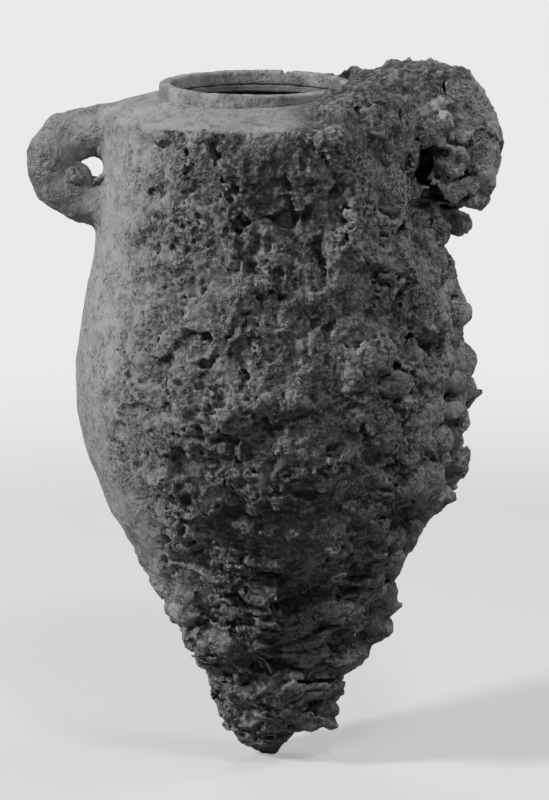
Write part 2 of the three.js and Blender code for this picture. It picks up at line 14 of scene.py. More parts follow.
import bpy
import numpy as np
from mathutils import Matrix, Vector

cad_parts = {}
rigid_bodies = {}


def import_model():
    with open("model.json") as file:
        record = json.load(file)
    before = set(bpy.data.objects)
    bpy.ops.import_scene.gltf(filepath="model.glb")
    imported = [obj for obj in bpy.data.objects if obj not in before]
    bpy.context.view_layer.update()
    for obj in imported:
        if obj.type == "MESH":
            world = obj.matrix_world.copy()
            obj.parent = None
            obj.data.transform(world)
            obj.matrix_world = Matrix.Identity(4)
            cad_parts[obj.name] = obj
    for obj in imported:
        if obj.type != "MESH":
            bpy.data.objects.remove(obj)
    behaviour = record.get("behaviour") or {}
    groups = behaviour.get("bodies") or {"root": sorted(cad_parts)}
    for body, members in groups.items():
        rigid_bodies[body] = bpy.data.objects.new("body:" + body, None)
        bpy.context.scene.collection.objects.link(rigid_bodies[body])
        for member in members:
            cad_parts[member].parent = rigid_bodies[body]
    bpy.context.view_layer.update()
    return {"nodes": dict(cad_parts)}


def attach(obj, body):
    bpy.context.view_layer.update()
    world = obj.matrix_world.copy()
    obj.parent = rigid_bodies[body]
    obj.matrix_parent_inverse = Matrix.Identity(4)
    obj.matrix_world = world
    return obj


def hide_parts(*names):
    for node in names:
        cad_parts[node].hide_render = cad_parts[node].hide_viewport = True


bl_info = {
    "name": "Crusted transport jar",
    "version": (1, 0, 0),
    "blender": (4, 5, 0),
    "location": "View3D > Sidebar > Jar",
    "description": "Makes the jar's clay, lime film, crust and growths round its packed solids",
    "category": "Object",
}

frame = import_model()

MM = 0.001
FLOAT = np.float32

# The clean outline of the left flank: radius by height, from the foot to the carinated edge.
OUTLINE = [
    (0, 0), (3, 7), (13, 13), (30, 24), (49, 33), (86, 50), (122, 67.5), (158, 90), (195, 112), (231, 127),
    (268, 134.5), (304, 136), (350, 128.5), (386, 121), (404, 118.5), (420, 116.5), (450, 113.3), (480, 112.3),
    (486, 114), (489.5, 114.6),
]
SHOULDER = [(492.4, 112.6), (497.5, 94), (502.8, 75), (502.8, 0)]
SHOULDER_SLOPE = 0.3
EDGE_HEIGHT = 490.5
EDGE_RADIUS = 114.6
RIM_OUTER = 72.5
RIM_INNER = 63.5
RIM_LOW = 501.5
RIM_TOP = 512.0
WALL_THICKNESS = 9
FOOT_CRACK = 51
LOWER_CRACK = 158
UPPER_CRACK = 328
COLUMNS = {
    "left": (-125, -62), "front_left": (-62, -6), "front": (-6, 50), "right": (50, 112),
    "back_right": (112, 175), "back": (175, 235),
}
SHOULDER_CRUST = (20, 158)

# Crust on the wall, square to it: by height where it is thickest, and its share by angle.
CRUST_BY_HEIGHT = [
    (0, 4), (13, 16), (31, 24), (49, 30), (60, 33), (73, 25), (92, 29), (107, 26), (122, 23), (137, 16),
    (158, 15), (177, 15),
    (195, 22), (231, 20), (277, 22), (304, 20), (350, 17), (386, 17), (420, 16), (460, 15), (489, 14),
]
CRUST_BY_ANGLE = [
    (-180, .33), (-150, .12), (-120, 0), (-60, 0), (-30, .12), (0, .3), (25, .5), (45, .7), (70, .95), (90, 1),
    (110, .95), (150, .6), (180, .33),
]
TOP_CRUST_BY_ANGLE = [
    (-180, 0), (10, 0), (22, 2.5), (40, 8), (60, 15), (90, 18), (120, 15), (150, 8), (166, 1.5), (180, 0),
]
# How rough the skin of the wall is by angle, from film (0) to crust (1).
ROUGH_BY_ANGLE = [
    (-180, .6), (-160, .35), (-125, .06), (-66, .08), (-56, .3), (-42, .75), (-30, 1), (150, 1), (180, .6),
]
# How much of the lime's colour the skin of the wall shows by angle.
LIME_BY_ANGLE = [
    (-180, .3), (-150, .6), (-125, .9), (-60, 1), (-42, .8), (-25, .42), (-5, .15), (20, 0), (150, 0), (180, .3),
]

# Zones of the wall and the shoulder by angle: where each begins, is full, begins to fade and has ended.
ROUND_ZONE = (5, 55, 160, 175)  # round lumps instead of ridges
RIGHT_ZONE = (52, 76, 150, 170)  # the smoothest lumps
POROUS_ZONE = (-60, -40, -10, 8)  # deep pits, between film and crust
FINE_POROUS_ZONE = (-66, -44, -16, 4)  # small pits there
DARK_ZONE = (-38, -8, 10, 42)  # the darkest: deposit, and painted shade on the front
SOILED_ZONE = (-60, -40, 60, 80)  # some deposit everywhere
CLEAN_ZONE = (42, 72, 150, 175)  # least deposit
TOP_ROUGH_ZONE = (14, 32, 150, 170)  # crust on the shoulder
TOP_DULL_ZONE = (10, 30, 150, 170)  # no lime's colour there
TOP_DARK_ZONE = (5, 25, 150, 170)  # deposit there
# Zones by height, in the same way.
# Painted shade on the front: low on the jar, where the cone faces down, and under the shoulder's edge.
LOW_DARK_ZONE = (40, 90, 215, 300)
HIGH_DARK_ZONE = (395, 430, 478, 492)

# Round growths: angle, height above the ground, and radii outwards, sideways and upwards.
NODULES = {
    "nodule_waist_right": (84, 379, 15, 15, 13),
    "nodule_belly_front_right": (62, 343, 17, 20, 18),
    "nodule_belly_right_upper": (93, 337, 16, 17, 15),
    "nodule_belly_right_middle": (80, 303, 16, 16, 18),
    "nodule_belly_right_lower": (97, 275, 15, 18, 16),
    "nodule_hip_right_upper": (78, 259, 14, 15, 15),
    "nodule_hip_right_middle": (90, 227, 17, 17, 18),
    "nodule_hip_front_right": (54, 185, 15, 18, 14),
    "nodule_cone_right_upper": (86, 125, 18, 17, 22),
    "nodule_cone_right_lower": (78, 81, 15, 15, 16),
    "nodule_back_upper": (150, 331, 15, 19, 17),
    "nodule_back_lower": (138, 209, 14, 16, 15),
}

# Lumps that stand out of the crust, and hollows and crevices in it, measured in the same way.
LUMPS = [
    (-2, 382, 9, 12, 8.8), (3, 422, 7, 10, 6.6), (-6, 414, 6, 7, 6.6), (26, 317, 6, 7, 6.6), (7, 267, 5, 5, 5.1),
    (8, 227, 5, 4, 6.6), (20, 204, 7, 8, 6.6), (28, 194, 7, 10, 7.3), (58, 229, 11, 28, 14.6), (-19, 153, 8, 12, 5.8),
    (38, 131, 9, 31, 8.8), (17, 120, 6, 7, 5.8), (38, 102, 9, 12, 9.5), (53, 83, 6, 7, 6.6), (66, 80, 7, 8, 7.3),
    (6, 57, 8, 15, 7.3), (83, 34, 8, 9, 9.5), (21, 51, 6, 7, 5.8), (82, 106, 9, 13, 11.7), (90, 116, 8, 9, 9.5),
    (85, 149, 8, 9, 9.5), (82, 49, 6, 8, 5.8), (10, 13, 5, 6, 5.8), (2, 31, 5, 6, 5.8), (76, 328, 7, 6, 6.6),
    (80, 307, 10, 11, 14.6), (90, 280, 4, 9, 9), (72, 296, 7, 8, 7.3), (68, 277, 7, 8, 7.3), (86, 261, 6, 6, 5.8),
    (65, 256, 8, 12, 10.9), (80, 248, 7, 6, 9.5), (85, 228, 8, 8, 8.0), (82, 207, 7, 8, 5.8), (67, 187, 8, 9, 8.8),
    (78, 170, 6, 8, 5.1), (74, 160, 7, 8, 5.8), (81, 386, 6, 7, 8.8), (61, 350, 11, 19, 19.0), (-9, 350, 7, 12, 8.0),
    (-6, 286, 7, 11, 7.3), (12, 301, 7, 12, 8.8), (-17, 239, 7, 11, 8.8), (15, 464, 6, 12, 7.3),
    (32, 412, 5, 10, 16.1), (38, 332, 6, 17, 11.7), (43, 306, 6, 15, 8.8), (-2, 200, 6, 16, 6.6),
    (-22, 103, 7, 11, 7.3), (-14, 80, 6, 10, 5.8), (32, 70, 6, 12, 6.6), (54, 148, 7, 17, 6.6), (4, 148, 6, 13, 5.1),
    (29, 280, 6, 14, 8.8), (-20, 284, 5, 10, 10.9), (-28, 333, 4, 8, 10.9), (-28, 179, 6, 10, 8.8),
    (-42, 141, 6, 12, 8.8), (-68, 53, 5, 8, 7.3),
]
HOLLOWS = [
    (18, 433, 9, 7, 8.0), (11, 427, 6, 7, 5.1), (22, 406, 9, 4, 14.6), (29, 447, 8, 5, 4.4), (-4, 451, 7, 2, 2.2),
    (39, 357, 8, 7, 5.1), (48, 381, 7, 5, 4.4), (56, 383, 6, 5, 2.9), (73, 373, 6, 5, 3.6), (3, 352, 7, 5, 3.6),
    (7, 358, 6, 2, 2.2), (-16, 344, 7, 5, 4.4), (-7, 400, 7, 4, 2.2), (50, 425, 6, 6, 4.4), (48, 395, 5, 3, 6.6),
    (59, 365, 7, 17, 2.2), (39, 463, 4, 8, 8.8), (38, 472, 6, 10, 1.8), (4, 316, 10, 7, 5.1), (-4, 316, 7, 7, 3.6),
    (16, 336, 7, 3, 2.6), (29, 333, 6, 5, 2.9), (31, 319, 7, 5, 9.5), (39, 287, 8, 3, 3.6), (30, 275, 8, 4, 3.3),
    (22, 259, 8, 6, 6.6), (37, 252, 7, 9, 4.4), (45, 241, 9, 9, 10.2), (49, 206, 9, 14, 4.4), (62, 243, 7, 6, 2.2),
    (72, 263, 9, 9, 2.6), (-5, 161, 8, 29, 2.2), (-16, 143, 9, 14, 2.6), (37, 144, 9, 35, 2.2), (8, 133, 8, 14, 2.6),
    (-20, 119, 8, 25, 2.2), (39, 117, 7, 13, 2.9), (58, 94, 9, 21, 2.9), (8, 81, 8, 29, 2.6), (30, 67, 9, 42, 2.9),
    (45, 46, 7, 12, 2.9), (44, 31, 7, 14, 2.9), (13, 229, 6, 34, 2.9), (-6, 212, 6, 22, 2.9), (24, 183, 6, 24, 2.6),
    (-16, 327, 7, 5, 2.9), (-25, 298, 5, 5, 5.1), (-9, 271, 7, 5, 4.4), (10, 372, 6, 6, 3.6), (23, 349, 6, 6, 3.6),
    (-23, 245, 6, 5, 3.6), (11, 154, 5, 2, 2.2), (-21, 185, 6, 12, 2.2), (-36, 125, 6, 11, 2.2), (85, 65, 7, 9, 2.2),
    (-86, 120, 7, 15, 11), (-78, 104, 5, 11, 6),
]
# How far the middles of growths lie under the crust, and those of hollows over it, as shares of the outward radius.
NODULE_SINK = 0.45
LUMP_SINK = 0.3
HOLLOW_RISE = 0.15
DITCH_WIDTH = 3  # width of the ditch round the foot of a growth
CLAY_BITE = 1.6  # how far a pit may reach into the clay
ROUND_LUMPS = 90  # lumps further to the right than this stand out as balls with a ditch
# Masses round the right ear: their middles and radii.
EAR_MASSES = {
    "ear_crust_outer": ((147, 0, 465), (35, 35, 46)),
    "ear_crust_roof": ((118, 0, 501), (47, 40, 27)),
    "ear_lobe_front_upper": ((126, -36, 479), (12, 13, 15)),
    "ear_lobe_front_lower": ((144, -39, 458), (12, 12, 14)),
    "ear_crust_back": ((124, 26, 452), (20, 16, 27)),
    "ear_ball_under": ((147.5, -9, 408.5), (14.5, 14, 13.5)),
}
# Smaller lobes that grow out of those masses: middle, radii and the reach over which the meeting is filled.
EAR_LOBES = [
    ((140, -37, 489), (6.5, 8, 8), 1), ((167.5, -20, 452), (15, 21, 20), 3), ((155, -39, 441), (7, 8, 7), 1),
    ((143, -38, 438), (8, 9, 9), 2), ((153, -24, 427), (15, 15, 4), 1), ((137, -18, 421), (9, 9, 11), 3),
    ((80, 6, 499), (24, 27, 17), 8), ((120, 34, 478), (13, 11, 12), 3),
    ((150, 28, 440), (13, 12, 14), 3), ((158, 22, 480), (12, 13, 12), 3), ((132, 36, 440), (9, 8, 9), 2),
]
# Rods along the ear's front: places and radii.
EAR_RIDGE = [(118, -50, 449, 3), (128, -36, 438, 4.5), (131, -35, 420, 5), (133, -33, 403, 6)]
# Caves, craters and a crease in those masses.
EAR_CAVE = ((121, -36, 455), (8.5, 38, 15))
EAR_CRATERS = [
    ((131, -46, 466), (11, 22, 7)), ((137, -30, 513), (3, 9, 8)), ((145, -52, 456), (3, 5, 3)),
    ((146, -50, 460), (4, 5, 4.5)), ((124.5, -47, 425), (3, 10, 11)), ((128, 44, 462), (6, 9, 11)),
    ((160, -36, 484), (5, 6, 4)),
]
EAR_CREASE = [(159, -42, 470, 2.2), (157, -48, 456, 3.2), (151, -47, 441, 3)]
# The line through the left ear's rod: distance from the axis, height, and the rod's radius there.
EAR_LINE = [
    (106, 475.5, 18), (128, 475.5, 17), (143, 470.5, 17), (152.5, 460, 17.8), (153, 447, 17.8), (145, 433.5, 17),
    (130, 425.5, 16.5), (106, 419, 18),
]
# The lump inside the left ear, the edge of a shell on it, and a notch where the ear meets the wall.
EAR_LUMP = ((-133, -9, 443.5), (9, 9.5, 7.5))
EAR_SHELL_EDGE = [(-121, -15, 440, 1.7), (-116, -18, 444, 1.5), (-111, -20, 449, 1.3)]
EAR_NOTCH = ((-110, -31, 478), (2, 8, 8))


def size_setting(name, text, millimetres, **limits):
    """A setting for a length."""
    return bpy.props.FloatProperty(name=name, description=text, default=millimetres * MM, unit="LENGTH", **limits)


def colour_setting(name, text, *colour):
    """A setting for a colour."""
    return bpy.props.FloatVectorProperty(name=name, description=text, subtype="COLOR", size=3, default=colour)


class JarSkin(bpy.types.PropertyGroup):
    """Sizes of the relief that the sea has left on the jar."""
    pitch: size_setting("Pitch", "Spacing of the lattice that the skin is drawn from", 1.1,
                        min=0.0008, max=0.01)
    lump_height: size_setting("Lumps", "Height of the broad lumps of the crust", 8)
    crag_height: size_setting("Crags", "Height of the sharp ridges of the crust", 5.6)
    pit_depth: size_setting("Pits", "Depth of the pits of the crust", 6)
    grain_height: size_setting("Grain", "Height of the finest relief of the crust", 1.8)
    ledge_depth: size_setting("Ledges", "How far the level ledges low on the jar stand out", 5)
    film_relief: size_setting("Film relief", "Height of the unevenness of the lime film", 0.6)


class JarFinish(bpy.types.PropertyGroup):
    """Colours of the clay, the lime and the crust."""
    lime: colour_setting("Lime film", "Colour of the thin lime film", 0.42, 0.42, 0.415)
    crust_pale: colour_setting("Crust, pale", "Colour of the crust's worn ridges", 0.45, 0.454, 0.45)
    # This dark colour is the deposit's, and the finishes also use it for painted shade in hollows, low on the front
    # and under the shoulder.
    crust_dark: colour_setting("Crust, dark", "Colour of the deposit in the crust's hollows", 0.06, 0.062, 0.06)
    clay: colour_setting("Clay", "Colour of the bare fired clay", 0.26, 0.258, 0.25)
    shell: colour_setting("Shell", "Colour of sea shells and worm tubes", 0.6, 0.6, 0.585)


class JarStage(bpy.types.PropertyGroup):
    """The floor, the lamps and the camera."""
    floor: colour_setting("Floor", "Colour of the floor", 0.78, 0.78, 0.78)
    key_power: bpy.props.FloatProperty(
        name="Key lamp", description="Power of the lamp on the left", default=70, unit="POWER")
    fill_power: bpy.props.FloatProperty(
        name="Fill lamps", description="Power of the lamp in front; those on the right and behind are weaker",
        default=33, unit="POWER")
    sky: bpy.props.FloatProperty(
        name="Soft light", description="Strength of the even light from all sides", default=0.06)
    distance: bpy.props.FloatProperty(
        name="Camera distance", description="From the camera to the jar's axis", default=4.0, unit="LENGTH")


# The camera, in metres and degrees: the height that it takes in at the jar's axis, its rise and its aim.
FRAME_HEIGHT = 0.5978
CAMERA_RISE = 11.22
CAMERA_AIM = (0.0126, 0, 0.2728)


# Noise: smooth waves and scattered pits, both drawn from one seeded lattice of random numbers.

CELLS = 64
random_numbers = np.random.default_rng(20)
slopes = random_numbers.normal(size=(CELLS ** 3, 3)).astype(FLOAT)
slopes /= np.linalg.norm(slopes, axis=1, keepdims=True)
scatter = random_numbers.random((CELLS ** 3, 4)).astype(FLOAT)


def cell_number(cell):
    """The lattice's number for whole cell coordinates."""
    wrapped = cell & (CELLS - 1)
    return (wrapped[:, 0] * CELLS + wrapped[:, 1]) * CELLS + wrapped[:, 2]


def waves(points, pitch, seed):
    """Smooth noise from about -1 to 1, whose lumps lie about a pitch apart."""
    place = points / FLOAT(pitch) + FLOAT(seed * 7.31)
    low = np.floor(place)
    part = place - low
    low = low.astype(np.int32)
    fade = part * part * part * (part * (part * 6 - 15) + 10)
    total = np.zeros(len(points), FLOAT)
    for corner in np.ndindex(2, 2, 2):
        weight = np.ones(len(points), FLOAT)
        for axis in range(3):
            weight *= fade[:, axis] if corner[axis] else 1 - fade[:, axis]
        away = part - np.array(corner, FLOAT)
        slope = slopes[cell_number(low + np.array(corner, np.int32))]
        total += weight * np.einsum("ij,ij->i", away, slope)
    return total * FLOAT(1.7)


def mixed(points, *rows):
    """Waves of several heights, pitches and seeds, added up."""
    return sum(height * waves(points, pitch, seed) for height, pitch, seed in rows)


def sway(points, pitch, seed):
    """Three waves side by side, for moving places about."""
    return np.stack([waves(points, pitch, seed + i) for i in range(3)], 1)


def pits(points, pitch, seed, share):
    """Depth under the sides of round pits of mixed sizes, scattered about a pitch apart, in pitches."""
    place = points / FLOAT(pitch) + FLOAT(seed * 5.17)
    low = np.floor(place).astype(np.int32)
    part = place - low
    deepest = np.zeros(len(points), FLOAT)
    for step in np.ndindex(3, 3, 3):
        step = np.array(step, np.int32) - 1
        drawn = scatter[cell_number(low + step)]
        away = drawn[:, :3] + step.astype(FLOAT) - part
        reach = np.where(drawn[:, 3] < share, 0.22 + 0.5 * drawn[:, 3] / share, 0)
        deepest = np.maximum(deepest, reach - np.sqrt(np.einsum("ij,ij->i", away, away)))
    return deepest


def shared_out(work, *arrays):
    """work(*arrays), done in batches side by side."""
    batch = 60000
    parts = [[array[i:i + batch] for array in arrays] for i in range(0, len(arrays[0]), batch)]
    with ThreadPoolExecutor(4) as pool:
        done = list(pool.map(lambda part: work(*part), parts))
    return np.concatenate(done)


def smooth(low, high, value):
    """0 below low, 1 above high, and a smooth rise between."""
    share = np.clip((value - low) / (high - low), 0, 1)
    return share * share * (3 - 2 * share)


def between(low, rise, fall, high, value):
    """0 below low and above high, 1 from rise to fall, and smooth slopes between."""
    return smooth(low, rise, value) * (1 - smooth(fall, high, value))


def follow(stations, value):
    """A value read off a table of stations."""
    at, out = zip(*stations)
    return np.interp(value, at, out).astype(FLOAT)


def soft_min(a, b, reach):
    """The smaller of two distances, with their meeting filled over a reach."""
    overlap = np.clip(reach - np.abs(a - b), 0, None) / reach
    return np.minimum(a, b) - overlap * overlap * overlap * reach / 6


def soft_max(a, b, reach):
    """The larger of two distances, with their meeting rounded over a reach."""
    return -soft_min(-a, -b, reach)


# The jar's own shape.

@lru_cache(maxsize=None)
def outline_table():
    """Distance to the clean outline on a lattice of radius and height, negative inside."""
    outline = np.array(OUTLINE + SHOULDER, float)
    fine_z = np.arange(0, 489, 2.0)
    smooth_r = np.interp(fine_z, outline[:, 0], outline[:, 1])
    kernel = np.hanning(13)
    kernel /= kernel.sum()
    padded = np.concatenate([np.interp(np.arange(-12, 0, 2.0), [-12, 0], [-smooth_r[6], 0]), smooth_r,
                             np.full(6, smooth_r[-1])])
    smooth_r = np.convolve(padded, kernel, "valid")
    smooth_r[fine_z > 470] = np.interp(fine_z[fine_z > 470], outline[:, 0], outline[:, 1])
    smooth_r[0] = 0
    line = np.concatenate([np.stack([smooth_r, fine_z], 1), outline[-5:, ::-1]])
    r, z = np.meshgrid(np.arange(0, 230.0), np.arange(-30, 570.0), indexing="ij")
    here = np.stack([r.ravel(), z.ravel()], 1)
    best = np.full(len(here), 1e9)
    for start, end in zip(line, line[1:]):
        along = end - start
        share = np.clip((here - start) @ along / (along @ along), 0, 1)
        best = np.minimum(best, np.linalg.norm(here - start - share[:, None] * along, axis=1))
    radius_here = np.interp(here[:, 1], line[:, 1], line[:, 0])
    within = (here[:, 1] > 0) & (here[:, 1] < line[-1, 1]) & (here[:, 0] < radius_here)
    return np.where(within, -best, best).reshape(r.shape).astype(FLOAT)


def outline_distance(radius, height):
    """Distance to the clean outline."""
    table = outline_table()
    r = np.clip(radius, 0, table.shape[0] - 1.01)
    z = np.clip(height + 30, 0, table.shape[1] - 1.01)
    i, j = r.astype(np.int32), z.astype(np.int32)
    u, v = r - i, z - j
    low = table[i, j] * (1 - v) + table[i, j + 1] * v
    high = table[i + 1, j] * (1 - v) + table[i + 1, j + 1] * v
    return low * (1 - u) + high * u


def turn_of(points):
    """Angles in degrees from the front towards +X, and distances from the axis."""
    angle = np.degrees(np.arctan2(points[:, 0], -points[:, 1]))
    return angle.astype(FLOAT), np.hypot(points[:, 0], points[:, 1])


def on_top(radius, height):
    """Whether a place belongs to the shoulder instead of the wall."""
    return height - EDGE_HEIGHT > 0.7 * (radius - EDGE_RADIUS)


def crust_thickness(angle, radius, height):
    """Thickness of crust over the clean outline."""
    wall = follow(CRUST_BY_HEIGHT, height) * follow(CRUST_BY_ANGLE, angle)
    top = follow(TOP_CRUST_BY_ANGLE, angle) * (0.7 + 0.4 * smooth(72, 112, radius))
    share = smooth(480, 500, height)
    return wall * (1 - share) + top * share


def body_distance(points):
    """Distance to the jar with its crust, without relief."""
    angle, radius = turn_of(points)
    return outline_distance(radius, points[:, 2]) - crust_thickness(angle, radius, points[:, 2])


def ball_distance(points, middle, radii, turn=0.0):
    """Distance to a ball with three radii, turned about the upright."""
    away = points - np.array(middle, FLOAT)
    if turn:
        c, s = math.cos(turn), math.sin(turn)
        away = away @ np.array([[c, -s, 0], [s, c, 0], [0, 0, 1]], FLOAT)
    radii = np.array(radii, FLOAT)
    near = np.linalg.norm(away / radii, axis=1)
    steep = np.linalg.norm(away / radii ** 2, axis=1)
    return near * (near - 1) / np.maximum(steep, 1e-6)


def rod_distance(points, line):
    """Distance to a round rod through stations of x, y, z and radius."""
    best = np.full(len(points), 1e6, FLOAT)
    for start, end in zip(line, line[1:]):
        start, end = np.array(start, FLOAT), np.array(end, FLOAT)
        along = (end - start)[:3]
        share = np.clip((points - start[:3]) @ along / (along @ along), 0, 1)
        away = np.linalg.norm(points - start[:3] - share[:, None] * along, axis=1)
        best = np.minimum(best, away - start[3] - share * (end[3] - start[3]))
    return best


def left_ear_distance(points):
    """Distance to the left ear's rod."""
    return rod_distance(points, [(-out, 0, up, radius) for out, up, radius in EAR_LINE])


def right_ear_distance(points):
    """Distance to the right ear's rod in its skin of crust."""
    return rod_distance(points, [(out, 0, up, radius - 0.5) for out, up, radius in EAR_LINE])


def skin_place(angle, height, rise):
    """A place over or under the crust at an angle and a height, and the turn that faces outwards there."""
    turn = math.radians(angle)
    radius = np.arange(1, 200, 0.5)
    line = np.stack([radius * math.sin(turn), -radius * math.cos(turn), np.full(len(radius), height)], 1)
    middle = radius[np.argmax(body_distance(line.astype(FLOAT)) > 0)] + rise
    return (middle * math.sin(turn), -middle * math.cos(turn), height), turn - math.pi / 2


@lru_cache(maxsize=None)
def nodule_place(name):
    """A nodule's middle and its turn."""
    angle, height, out = NODULES[name][:3]
    return skin_place(angle, height, -NODULE_SINK * out)


@lru_cache(maxsize=None)
def crust_features():
    """Middle, turn, radii and sign of each lump (1) and hollow (-1) of the crust."""
    found = [(*skin_place(angle, height, -LUMP_SINK * out), (1.3 * out, 1.1 * across, 1.1 * up), 1)
             for angle, height, out, across, up in LUMPS]
    found += [(*skin_place(angle, height, HOLLOW_RISE * out), (1.15 * out, across, up + 1), -1)
              for angle, height, out, across, up in HOLLOWS]
    return found


def nodule_distance(points, name):
    """Distance to a nodule."""
    middle, turn = nodule_place(name)
    return ball_distance(points, middle, NODULES[name][2:], turn)


def growths_near(points):
    """Distance to each growth, by name."""
    found = {name: nodule_distance(points, name) for name in NODULES}
    for name, (middle, radii) in EAR_MASSES.items():
        found[name] = ball_distance(points, middle, radii)
    found["handle_left"] = left_ear_distance(points)
    found["ear_lump_left"] = ball_distance(points, *EAR_LUMP)
    return found


def ball(middle, radii, turn=0.0):
    """The field of distances to a ball."""
    return lambda points: ball_distance(points, middle, radii, turn)


def grown_on(distance, points, field, middle, reach, blend, meet=soft_min):
    """The distance after a growth has been joined to the shape, worked out only near that growth."""
    near = (np.abs(points - np.array(middle, FLOAT)) < reach).all(1)
    distance[near] = meet(distance[near], field(points[near]), blend)
    return distance


def crowned(distance, points, field, middle, reach, blend, ditch):
    """The distance after a rounded growth has been joined to the shape, with a ditch round its foot."""
    near = (np.abs(points - np.array(middle, FLOAT)) < reach).all(1)
    here = distance[near]
    growth = field(points[near])
    here = np.maximum(here, np.minimum(DITCH_WIDTH - growth, here + ditch))
    distance[near] = soft_min(here, growth, blend)
    return distance


def right_ear_on(distance, points):
    """The distance after the masses round the right ear, with their lobes, caves and creases."""
    lobes = {name: mass for name, mass in EAR_MASSES.items() if "lobe" in name}
    for name, (middle, radii) in EAR_MASSES.items():
        if name not in lobes:
            distance = grown_on(distance, points, ball(middle, radii), middle, max(radii) + 40, 6)
    distance = grown_on(distance, points, right_ear_distance, (130, 0, 450), 100, 6)
    for middle, radii in lobes.values():
        distance = crowned(distance, points, ball(middle, radii), middle, max(radii) + 40, 2, 5)
    for middle, radii, blend in EAR_LOBES:
        distance = crowned(distance, points, ball(middle, radii), middle, max(radii) + 40, blend, 3)
    middle, radii = EAR_MASSES["ear_ball_under"]
    distance = grown_on(distance, points, ball(middle, radii), middle, 60, 2)
    distance = grown_on(distance, points, lambda p: rod_distance(p, EAR_RIDGE), (126, -40, 425), 60, 4)
    for middle, radii in (EAR_CAVE, EAR_NOTCH, *EAR_CRATERS):
        distance = grown_on(distance, points, lambda p: -ball_distance(p, middle, radii), middle,
                            max(radii) + 40, 3, soft_max)
    return grown_on(distance, points, lambda p: -rod_distance(p, EAR_CREASE), (152, -40, 451), 60, 2, soft_max)


def shape_distance(points):
    """Distance to the whole jar without relief."""
    distance = right_ear_on(body_distance(points), points)
    for name, (_, _, *radii) in NODULES.items():
        distance = crowned(distance, points, lambda p: nodule_distance(p, name), nodule_place(name)[0],
                           max(radii) + 40, 2, 4)
    low, high = points.min(0) - 35, points.max(0) + 35
    for middle, turn, radii, sign in crust_features():
        if not ((low < middle).all() and (middle < high).all()):
            continue
        reach = max(radii) + 20
        if sign < 0:
            distance = grown_on(distance, points, lambda p: -ball_distance(p, middle, radii, turn), middle,
                                reach, 2.5, soft_max)
        elif middle[0] > ROUND_LUMPS:
            distance = crowned(distance, points, ball(middle, radii, turn), middle, reach, 2, 3.5)
        else:
            distance = grown_on(distance, points, ball(middle, radii, turn), middle, reach, 6)
    distance = grown_on(distance, points, left_ear_distance, (-130, 0, 450), 100, 16)
    distance = grown_on(distance, points, ball(*EAR_LUMP), EAR_LUMP[0], 40, 5)
    return grown_on(distance, points, lambda p: rod_distance(p, EAR_SHELL_EDGE), (-116, -18, 444), 40, 1)


def calm_at(points):
    """1 on the jar's body, down to 0.2 on the growths, whose relief is lower."""
    nearest = np.full(len(points), 30, FLOAT)
    for name, (_, _, *radii) in NODULES.items():
        nearest = grown_on(nearest, points, lambda p: nodule_distance(p, name), nodule_place(name)[0],
                           max(radii) + 30, 1)
    low, high = points.min(0) - 30, points.max(0) + 30
    for middle, turn, radii, sign in crust_features():
        if sign > 0 and middle[0] > ROUND_LUMPS and (low < middle).all() and (middle < high).all():
            nearest = grown_on(nearest, points, ball(middle, radii, turn), middle, max(radii) + 15, 1)
    calm = 0.2 + 0.8 * smooth(-1, 6, nearest)
    nearest = np.full(len(points), 30, FLOAT)
    for middle, radii in EAR_MASSES.values():
        nearest = grown_on(nearest, points, ball(middle, radii), middle, max(radii) + 30, 1)
    return np.minimum(calm, 0.5 + 0.5 * smooth(-2, 9, nearest))


def left_ear_share(points):
    """1 on the left ear, 0 on the wall."""
    return smooth(-111, -119, points[:, 0]) * smooth(398, 412, points[:, 2])


def roughness_at(points):
    """0 on lime film, 1 on full crust."""
    angle, radius = turn_of(points)
    height = points[:, 2]
    wander = mixed(points, (16, 42, 3), (7, 15, 4))
    rough = follow(ROUGH_BY_ANGLE, np.clip(angle + wander, -180, 180))
    rough = np.maximum(rough, 1 - smooth(70, 230, height + wander * 2))
    crusted = between(*TOP_ROUGH_ZONE, angle + wander * 0.5)
    rough = np.where(on_top(radius, height), np.maximum(crusted, 0.03), rough)
    ear = left_ear_share(points)
    rough += ear * (0.3 + 0.25 * waves(points, 20, 69) - rough)
    lump = ball_distance(points, *EAR_LUMP)
    return np.maximum(rough, 0.5 * smooth(5, 1, lump)).astype(FLOAT)


def drawn_out(points):
    """Places for the crust's noise: squeezed low on the cone, where it lies in layers, and wandering."""
    height = points[:, 2]
    drawn = points.copy()
    drawn[:, 2] += 0.5 * soft_min(height, np.full(len(height), 170, FLOAT), 60)
    drawn[:, 2] += 0.3 * soft_min(-height, np.full(len(height), -340, FLOAT), 60)
    return drawn + sway(points, 24, 25) * 6


